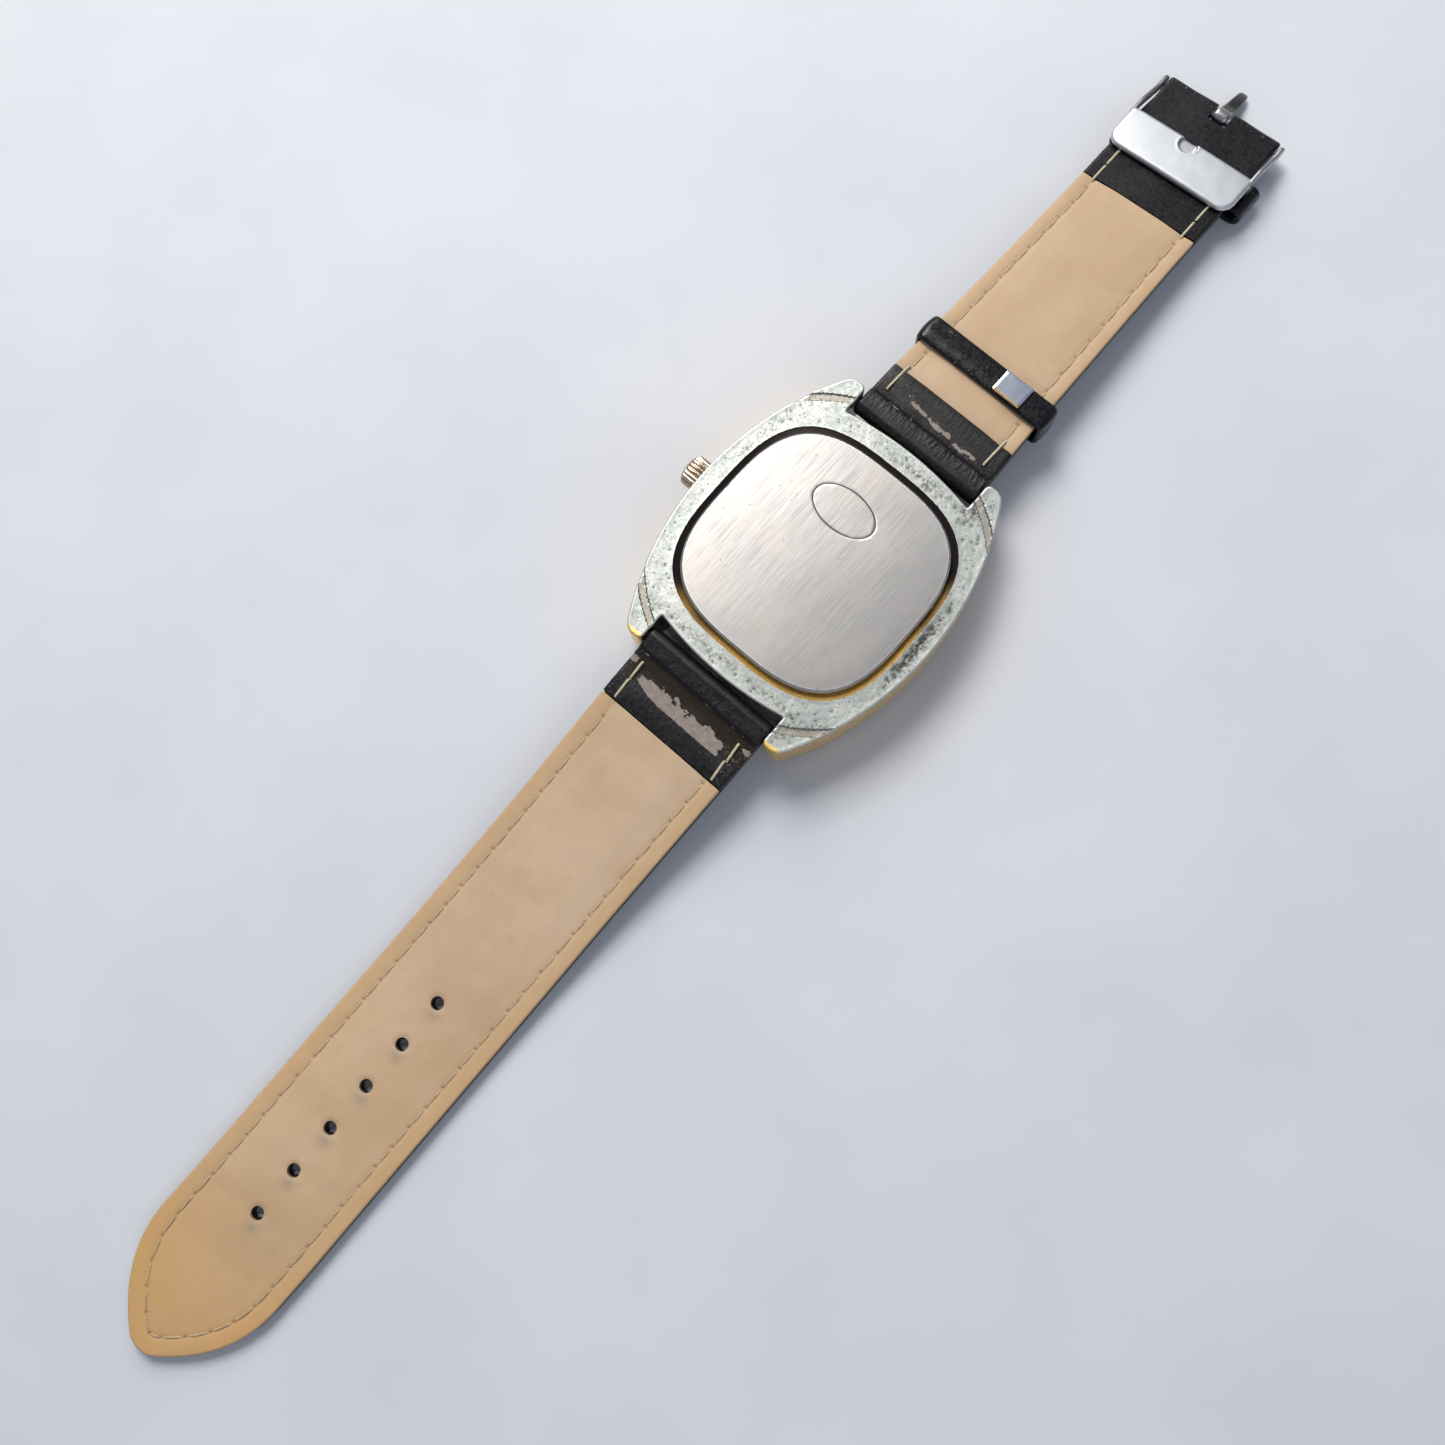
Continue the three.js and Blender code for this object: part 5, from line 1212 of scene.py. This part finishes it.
def make_short_face():
    side, z, t, marks = short_face()
    half = short_half(side)[:, None]
    u = columns(STRAP_HALF, 84)
    ds, dz = np.gradient(side), np.gradient(z)
    size = np.hypot(ds, dz) + 1e-9
    row = np.arange(len(side))[:, None]
    x = half * u
    s = np.repeat(side[:, None], len(u), 1)
    lug_top = row < marks[0] + 6
    buckle_top = row >= marks[3] - 7
    fall = rounding((1 - np.abs(u)) * half, EDGE_R)
    wobble = field(x[:1], np.zeros_like(x[:1]), 0.35, 14)
    start = 22.25 + 0.15 * wobble
    dip = -0.36 * smooth(s, start, start + 0.7) * (1 - smooth(s, 23.8, 26.8))
    dip += field(x, s, (1.1, 0.35), 12) * bell(s, 21.9, 0.9) * 0.03 + field(x, s, (0.35, 0.6), 18) * 0.03
    turn = -0.06 * bell(s, 82.0, 1.2) + field(x, s, (0.3, 0.5), 28) * 0.05 + 0.10 * bell(x, 0, 4)
    flat = 0.02 * field(x, s, 0.5, 19) - 0.03
    lift = np.where(lug_top, dip - 0.05, np.where(buckle_top, turn - 0.1, flat)) - fall
    # Drawn from the fold's end, over the bar, below, and back above: its left side is the inside.
    outer, inner = skins(x, s, z, (dz / size, -ds / size), lift, t[:, None] - fall * 0.9)
    streak = 23.7 + 0.5 * wobble + 0.008 * (x - 6) ** 2 - 0.02 * x
    worn = (0.72 + 1.1 * field(x, s, (1.3, 2.4), 75)) * bell(s, streak, 0.36)
    worn *= 1 - smooth(np.abs(x - 0.5), 5.4, 6.6)
    worn += 0.75 * bell(s, 22.5, 0.14) * bell(x, -6, 1.4) + 0.6 * bell(s, 22.6, 0.12) * bell(x, -3, 1.0)
    end_wear = smooth(s, 85.4, 86.2) * clamp(0.2 + 1.4 * field(x, np.zeros_like(x), 0.45, 51))
    notch = (s > BUCKLE_Y - 1.7) & (np.abs(x) < 1.25)  # room for the tongue
    build = Build()
    shell(
        build,
        outer,
        inner,
        ~notch,
        worn=worn * lug_top + 0.62 * end_wear,
        brown=0.35 * smooth(s, 22.6, 23.2) * lug_top * (1 - smooth(s, 25, 26)),
        scuff=0.05 + 0.5 * bell(s, streak, 0.8) * lug_top + 0.8 * smooth(s, 84.8, 86.0),
        wrinkled=(bell(s, 22.0, 1.1) + 0.25 * smooth(s, 24.5, 26)) * lug_top,
    )
    build.object(
        "short_strap_leather", LEATHER, "short_strap", ["short_strap_face"], moved=skew
    )
    cream = Build()
    for xs in ((-8.15, -8.05), (7.75, 7.85)):
        laid_thread(cream, xs, (23.8, 28.3), short_low, short_thick, 0.16, 0.1, 0.06, 0.4, 20)
    for x0 in (-7.1, 7.0):
        for ends in ((66.0, 69.0), (69.2, 72.2)):
            laid_thread(cream, (x0, x0), ends, short_low, short_thick, 0.16)
    cream.object("short_strap_cream_stitches", CREAM, "short_strap", moved=skew)


def make_short_lining():
    s0, s1 = SHORT_FOLD + 0.1, SHORT_TURN - 0.1
    run = np.linspace(s0, s1, 120)
    outline = mirrored(short_half(run) - 0.03, run)
    loop = even(outline, int(length_of(outline) / 0.34))
    at = np.arange(s0 + 0.8, s1 - 0.4, STITCH_PITCH)
    dense = np.arange(s0 + 0.2, s1 - 0.2, 0.3)
    needles, lines = (
        [np.column_stack([side * (short_half(places) - 1.9), places]) for side in (-1, 1)]
        for places in (at, dense)
    )
    extra = np.vstack([copy for line in lines for copy in beside(line, np.array([1, 0]))])
    rings = [inset(loop, by) for by in (0.06, 0.15, 0.28)]
    flat, tris, loops = fill(loop, rings=rings, pitch=0.5, clear=0.2, extra=extra)
    x, s = flat.T
    sides = [np.column_stack([side * short_half(run), run]) for side in (-1, 1)]
    d, gap = (np.min([distance(flat, one, closed=False) for one in pair], axis=0) for pair in (sides, lines))
    fall = np.minimum(d, np.minimum(s - s0, s1 - s) + 0.12)
    needle = needle_marks(x, s, np.vstack(needles))
    z = short_low(s) + short_thick(s) - rounding(fall, EDGE_R) + 0.18 * smooth(d, 2.4, 5.5) - 0.18
    z += 0.07 * field(x, s, (0.16, 0.3), 23) * smooth(d, 0.2, 1.2) - 0.14 * bell(gap, 0, 0.42) - 0.12 * needle
    build = Build()
    slab(
        build,
        flat,
        tris,
        z,
        short_low(s) + short_thick(s) - LINING_T,
        loops[:1],
        above=dict(
            needle=needle,
            margin=0.5 * (1 - smooth(d, 1.4, 2.4)),
            amber=0.1,
            grey=clamp(0.35 * bell(s, 27.6, 0.8) + 0.25 * bell(s, 36.6, 0.7) + 0.1 * field(x, s, 0.15, 44)),
            cut_edge=1 - smooth(fall, 0.02, 0.2),
        ),
        below=dict(cut_edge=1.0),
        edge=dict(cut_edge=0.9),
        hole={},
    )
    build.object(
        "short_strap_lining_leather", LINING, "short_strap", ["short_strap_lining"], moved=skew
    )
    sewn = Build()
    for line in needles:
        stitches(sewn, line, short_low, short_thick, 0.18)
    sewn.object("short_strap_stitches", TAN_THREAD, "short_strap", moved=skew)


# ---------- keepers ----------
def rounded_box(x0, x1, z0, z1, r, steps=10):
    """Closed outline in (x, z), counter-clockwise, with round corners."""
    points = []
    corners = ((x1 - r, z0 + r), (x1 - r, z1 - r), (x0 + r, z1 - r), (x0 + r, z0 + r))
    for (cx, cz), start in zip(corners, (-90, 0, 90, 180)):
        for k in range(steps + 1):
            a = math.radians(start + 90 * k / steps)
            points.append((cx + r * math.cos(a), cz + r * math.sin(a)))
    return np.array(points)


def band_loop(build, outline, thickness, y0, y1, crown, seed, **values):
    """A leather band round a strap: outline is its outer side in (x, z)."""
    count = int(length_of(outline) / 0.3)
    line = even(outline, count)
    across = np.array([0, 0.06, 0.18, 0.36, 0.7, 1.1, 1.6, 2.0])
    width = y1 - y0
    near = across[across < width / 2]
    ys = np.concatenate([near, [width / 2], (width - near)[::-1]])
    fall = rounding(np.minimum(ys, width - ys), 0.32)
    outer, inner = [], []
    for y, f in zip(ys, fall):
        bow = crown * (1 - (2 * y / width - 1) ** 2)
        wrinkle = 0.02 * field(line[:, 0] + line[:, 1] * 0.7, np.full(count, y), (0.9, 0.6), seed)
        for side, by in ((outer, f - bow + crown + 0.04 - wrinkle[:, None]), (inner, thickness - 0.5 * f)):
            moved = inset(line, by)
            side.append(np.column_stack([moved[:, 0], np.full(count, y0 + y), moved[:, 1]]))
    points = np.vstack([*outer, *inner[::-1]])
    faces = strip((2 * len(ys), count), closed_rows=True, closed_columns=True)
    build.add(points, faces, **{key: value(points) for key, value in values.items()})


def make_keepers():
    make_free_keeper()
    make_fixed_keeper()


def make_free_keeper():
    """The loose band, and the folded plate with a bevelled face that is clipped on it."""
    top = float(short_low(KEEPER_Y) + short_thick(KEEPER_Y)) + 0.12
    low = top - 3.9
    side = 9.4 + 0.35 + 0.75  # half the strap, the play beside it, and the leather
    shift = 0.15
    outline = rounded_box(shift - side, shift + side, low - KEEPER_WALL, top + KEEPER_WALL, 1.15)
    build = Build()

    def marks(p):
        spots = 0.03 + 0.75 * bell(p[:, 0], -6.6, 0.9) * bell(p[:, 1], KEEPER_Y + 0.9, 0.8)
        spots += 0.5 * bell(p[:, 0], 0, 0.6)
        spots += 0.8 * smooth(p[:, 1], KEEPER_Y - 1.3, KEEPER_Y - 1.75) * bell(p[:, 0], -1, 3.5)
        return spots * (p[:, 2] > top)

    def slope(p):
        p = p.copy()
        p[:, 2] -= SHORT_SLOPE * (p[:, 1] - KEEPER_Y)
        return p

    band_loop(build, outline, 0.76, KEEPER_Y - 2, KEEPER_Y + 2, 0.26, 61, scuff=marks)
    build.object("free_keeper_band", GLOSSY, "keeper", ["free_keeper"], moved=slope)
    clip = Build()
    base = top + KEEPER_WALL + 0.03
    x0, x1, half = 2.1, 6.4, 1.68
    plan = rounded_box(x0, x1, KEEPER_Y - half, KEEPER_Y + half, 0.16, 5)
    bevel, height = 0.36, 0.335
    steps = [(0.0, 0.0), (0.0, 0.2), (0.03, 0.26), (0.3, 0.33), (bevel, height)]
    loops = [at_z(even(inset(plan, by), 72), base + up) for by, up in steps]
    # Painted warm reflection on the clip's edge towards the case.
    loft(clip, loops, warm=np.concatenate([0.85 * (p[:, 1] < KEEPER_Y - half + 0.5) for p in loops]))
    flat, tris, _ = fill(even(inset(plan, bevel), 72), pitch=0.3, clear=0.15)
    clip.add(at_z(flat, base + height + 0.012 * field(*flat.T, 0.8, 3)), tris)
    flat, tris, _ = fill(even(plan, 72), pitch=0.8, clear=0.3)
    clip.add(at_z(flat, base), tris[:, ::-1])
    clip.object("keeper_clip_plate", CLIP, "keeper", ["keeper_clip"], moved=slope)


def make_fixed_keeper():
    """A band under the strap whose ends are sewn into its edges."""
    mid = float(short_low(FIXED_Y) + short_thick(FIXED_Y)) - float(short_thick(FIXED_Y)) / 2
    left, right, bottom, high = SHORT_HALF + 0.95, SHORT_HALF + 2.25, 0.05, mid + 0.3
    r, half_t = 0.9, 0.42  # of its corners, and half its thickness
    inner_x = SHORT_HALF - 2.0
    path = [(-inner_x, high - 0.3), (-left + 1.2, high - 0.3)]
    for cx, cz, start, end in (
        (-left + r + half_t, high - r - 0.1, 100, 180),
        (-left + r + half_t, bottom + r + half_t, 180, 270),
        (right - r - half_t, bottom + r + half_t, 270, 360),
        (right - r - half_t, high - r - 0.1, 0, 80),
    ):
        for k in range(9):
            a = math.radians(mix(start, end, k / 8))
            path.append((cx + r * math.cos(a), cz + r * math.sin(a)))
    path = np.array([*path, (right - 1.2, high - 0.3), (inner_x, high - 0.3)])
    length = run_of(path)[-1]
    at = np.linspace(0, length, 150)
    line = along(path, at)
    for _ in range(3):
        line[1:-1] = (line[:-2] + 2 * line[1:-1] + line[2:]) / 4
    thick = mix(half_t, 0.3, smooth(np.minimum(at, length - at), 3.2, 1.6))
    ys = np.array([0, 0.06, 0.18, 0.36, 0.8, 1.5, 2.3, 3.1, 3.8, 4.24, 4.42, 4.54, FIXED_WIDTH])
    fall = rounding(np.minimum(ys, FIXED_WIDTH - ys), EDGE_R) / EDGE_R

    def side(sign):
        rows = []
        for y, f in zip(ys, fall):
            p = line + normals(line) * (sign * thick[:, None] * (1 - 0.8 * f))
            rows.append(np.column_stack([p[:, 0], np.full(len(p), FIXED_Y - FIXED_WIDTH / 2 + y), p[:, 1]]))
        return np.array(rows)

    over = side(-1)
    fixed = Build()
    shell(fixed, over, side(1), scuff=np.full(over.shape[:2], 0.35))
    fixed.object("fixed_keeper_band", GLOSSY, "short_strap", ["fixed_keeper"], moved=skew)


# ---------- buckle ----------
def make_buckle():
    """The frame: a wide satin plate with a bevelled rim, two arms, and ears round the bar."""
    lift = float(short_low(PLATE_NEAR) + short_thick(PLATE_NEAR)) + 0.35
    top = lift + PLATE_T
    length = PLATE_NEAR - PLATE_FAR
    far = lift + SHORT_SLOPE * length * 0.5
    w = BUCKLE_OUTER
    build = Build()
    plan = rounded_box(-w, w, PLATE_FAR, PLATE_NEAR, 2.0, 12)
    middle = (PLATE_FAR + PLATE_NEAR) / 2
    # The edge towards the strap's end is straight, so its corners are square.
    plan = np.vstack([plan[plan[:, 1] < middle], [[w, PLATE_NEAR], [-w, PLATE_NEAR]]])
    plan = plan[np.argsort(np.arctan2(plan[:, 1] - middle, plan[:, 0]))]
    loop = even(plan, int(length_of(plan) / 0.25))
    # A round hollow in the plate, for the tip of the tongue.
    cx, cy, r = -0.4, PLATE_NEAR - 0.9, 1.3
    rings = [inset(loop, by) for by in (0.1, 0.25, 0.45)]
    rounds = np.vstack([circle(48) * k + (cx, cy) for k in (r - 0.08, r, r + 0.1, r + 0.28)])
    rounds = rounds[rounds[:, 1] < PLATE_NEAR - 0.08]
    flat, tris, loops = fill(loop, rings=rings, pitch=0.26, clear=0.13, extra=rounds)
    x, y = flat.T
    d = distance(flat, loop)
    base = mix(lift, far, ramp(PLATE_NEAR - y, 0, length))
    dome = 0.14 * (1 - ((y - 75.4) / 4.2) ** 2) + 0.12 * (1 - (x / w) ** 2) - 0.26
    near = np.hypot(x - cx, y - cy)
    bowl = 0.42 * (1 - smooth(near, r - 0.12, r + 0.02))
    collar = 0.03 * bell(near, r + 0.16, 0.12)
    z = base + PLATE_T + dome - rounding(d, 0.42) - bowl + collar
    under = base + 0.12 * (1 - smooth(d, 0, 0.4))
    # Painted shade in the hollow, darkest round its edge.
    dark = 0.22 * (near < r - 0.1) + 0.6 * bell(near, r - 0.04, 0.07)
    slab(build, flat, tris, z, under, loops[:1], above=dict(dark=dark), below={}, edge={}, hole={})
    # Arms: from the plate to the ears, thin and tall, with rounded edges.
    ear = 1.05
    profile = [(PLATE_NEAR - 1.2, lift + 0.12), (PLATE_NEAR + 0.6, lift - 0.02)]
    profile.append((BUCKLE_Y - 1.2, BUCKLE_Z - 0.2))
    for k in range(13):
        a = math.radians(-115 + 205 * k / 12)
        profile.append((BUCKLE_Y + ear * math.cos(a), BUCKLE_Z + ear * math.sin(a)))
    profile += [(BUCKLE_Y - 1.6, BUCKLE_Z + 1.12), (PLATE_NEAR + 1.6, top - 0.16)]
    profile += [(PLATE_NEAR, top - 0.1), (PLATE_NEAR - 1.2, top - 0.2)]
    count = 90
    profile = softened(even(np.array(profile), count), 2)
    for side in (-1, 1):
        x0, x1 = sorted((side * BUCKLE_INNER, side * w))
        steps = [(x0, 0.16), (x0 + 0.05, 0.06), (x0 + 0.15, 0.0)]
        steps += [(x1 - 0.15, 0.0), (x1 - 0.05, 0.06), (x1, 0.16)]
        rows = [np.column_stack([np.full(count, px), inset(profile, by)]) for px, by in steps]
        # Painted shade on the arms, stronger on the left arm.
        shade = np.repeat([0.2, 0.45, 0.45, 0.45, 0.45, 0.2], count) * (1.7 if side < 0 else 1)
        loft(build, rows, caps=True, dark=shade)
    build.object("buckle_plate", BUCKLE, "buckle", ["buckle_frame"], moved=skew)


def make_tongue():
    """The tongue: a strip curled round the bar that tapers to a rounded point."""
    build = Build()
    drop = math.radians(16)
    bore, out = 0.83, 1.22
    middle = (bore + out) / 2
    # Each place has its (along, up), half its thickness and half its width.
    places = []
    for k in range(15):
        a = math.radians(-70 - 250 * k / 14)
        places.append((middle * math.cos(a), middle * math.sin(a), (out - bore) / 2, 0.9))
    places += [
        (1.1, 0.62, 0.22, 0.9),
        (1.7, 0.28, 0.34, 0.88),
        (2.6, 0.05, 0.43, 0.84),
        (3.6, 0, 0.44, 0.8),
        (4.6, -0.02, 0.42, 0.76),
        (5.5, -0.06, 0.38, 0.72),
        (6.1, -0.1, 0.32, 0.66),
        (6.45, -0.12, 0.22, 0.5),
        (6.58, -0.13, 0.08, 0.22),
    ]
    places = np.array(places)
    line = places[:, :2]
    section = rounded_box(-1, 1, -1, 1, 0.45, 4)
    loops = []
    for p, normal, (t, w) in zip(line, normals(line), places[:, 2:]):
        q = p + np.outer(section[:, 1] * t, normal)
        dy = q[:, 0] * math.cos(drop) + q[:, 1] * math.sin(drop)
        dz = -q[:, 0] * math.sin(drop) + q[:, 1] * math.cos(drop)
        x = section[:, 0] * w
        loops.append(np.column_stack([x, BUCKLE_Y + dy + x * SKEW, BUCKLE_Z + dz]))
    # Painted warm reflection on part of the curl, and painted shadow along the finger.
    warm = np.repeat([0.35] * 6 + [0.0] * 18, len(section))
    dark = np.repeat([0.0] * 15 + [0.93] * 4 + [0.75] * 5, len(section))
    loft(build, loops, caps=True, warm=warm, dark=dark)
    build.object("tongue_finger", TONGUE, "tongue", ["buckle_tongue"])


# ---------- CAD nodes that stay ----------
def dress_cad_nodes():
    """Gives every CAD node the procedural finish of its slot, and shades it smooth, keeping edges sharper
    than 30 degrees sharp.
    """
    slots = {part["node"]: part["material_slot"] for part in frame["record"]["subparts"]}
    for name, node in frame["nodes"].items():
        node.data.materials.clear()
        node.data.materials.append(PLAIN[slots[name]])
        node.data.shade_smooth()
        node.data.set_sharp_from_angle(angle=math.radians(30))


make_case()
make_cover()
make_crown()
make_long_face()
make_long_lining()
make_short_face()
make_short_lining()
make_keepers()
make_buckle()
make_tongue()
dress_cad_nodes()


# ---------- floor, light and camera ----------
def make_stage():
    mesh = bpy.data.meshes.new("floor")
    size = 1.5  # half its width, in metres
    corners = [(-size, -size, 0), (size, -size, 0), (size, size, 0), (-size, size, 0)]
    mesh.from_pydata(corners, [], [(0, 1, 2, 3)])
    floor = bpy.data.objects.new("floor", mesh)
    floor.location.z = -0.00002
    bpy.context.scene.collection.objects.link(floor)
    p = Paint("pale_floor", (0.66, 0.67, 0.69), 0.75)
    p.color(p.blend(p.curve(p.noise(0.03, 3), 0.3, 0.7), (0.64, 0.65, 0.67), (0.68, 0.69, 0.71)))
    mesh.materials.append(p.material)


def area_light(name, position, target, size, power, color=(1, 1, 1)):
    data = bpy.data.lights.new(name, "AREA")
    data.shape = "RECTANGLE"
    data.size, data.size_y = size
    data.energy = power
    data.color = color
    lamp = bpy.data.objects.new(name, data)
    lamp.location = position
    lamp.rotation_mode = "QUATERNION"
    lamp.rotation_quaternion = (Vector(target) - Vector(position)).to_track_quat("-Z", "Y")
    bpy.context.scene.collection.objects.link(lamp)


def make_lights():
    world = bpy.data.worlds.new("studio")
    world.use_nodes = True
    background = world.node_tree.nodes["Background"]
    background.inputs["Color"].default_value = (0.62, 0.70, 0.90, 1)
    background.inputs["Strength"].default_value = 0.34
    nodes, links = world.node_tree.nodes, world.node_tree.links
    seen = nodes.new("ShaderNodeBackground")
    seen.inputs["Color"].default_value = (0.62, 0.64, 0.68, 1)
    ray, both = nodes.new("ShaderNodeLightPath"), nodes.new("ShaderNodeMixShader")
    links.new(ray.outputs["Is Camera Ray"], both.inputs[0])
    links.new(background.outputs[0], both.inputs[1])
    links.new(seen.outputs[0], both.inputs[2])
    links.new(both.outputs[0], nodes["World Output"].inputs["Surface"])
    bpy.context.scene.world = world
    area_light("key", (-0.30, 0.16, 0.48), (0, -0.01, 0), (0.26, 0.26), 2.7, (1, 0.98, 0.95))
    area_light("fill", (0.35, -0.25, 0.45), (0, 0, 0), (0.40, 0.40), 0.55, (0.93, 0.96, 1))
    area_light("rim", (-0.40, 0.46, 0.40), (0, 0.0, 0), (0.45, 0.25), 1.3)


def make_view():
    bpy.context.scene.view_settings.view_transform = "Standard"
    bpy.context.scene.view_settings.look = "None"


def make_camera():
    """The camera looks almost straight down; its place is in metres."""
    data = bpy.data.cameras.new("camera")
    camera = bpy.data.objects.new("camera", data)
    camera.location = (0.031281, -0.044073, 0.183358)
    camera.rotation_euler = tuple(math.radians(a) for a in (10.7915, 2.0024, 41.1994))
    data.sensor_width = 36
    data.lens = 18 / math.tan(math.radians(26.5))
    data.clip_start, data.clip_end = 0.01, 20
    bpy.context.scene.collection.objects.link(camera)
    bpy.context.scene.camera = camera


make_stage()
make_lights()
make_camera()
make_view()
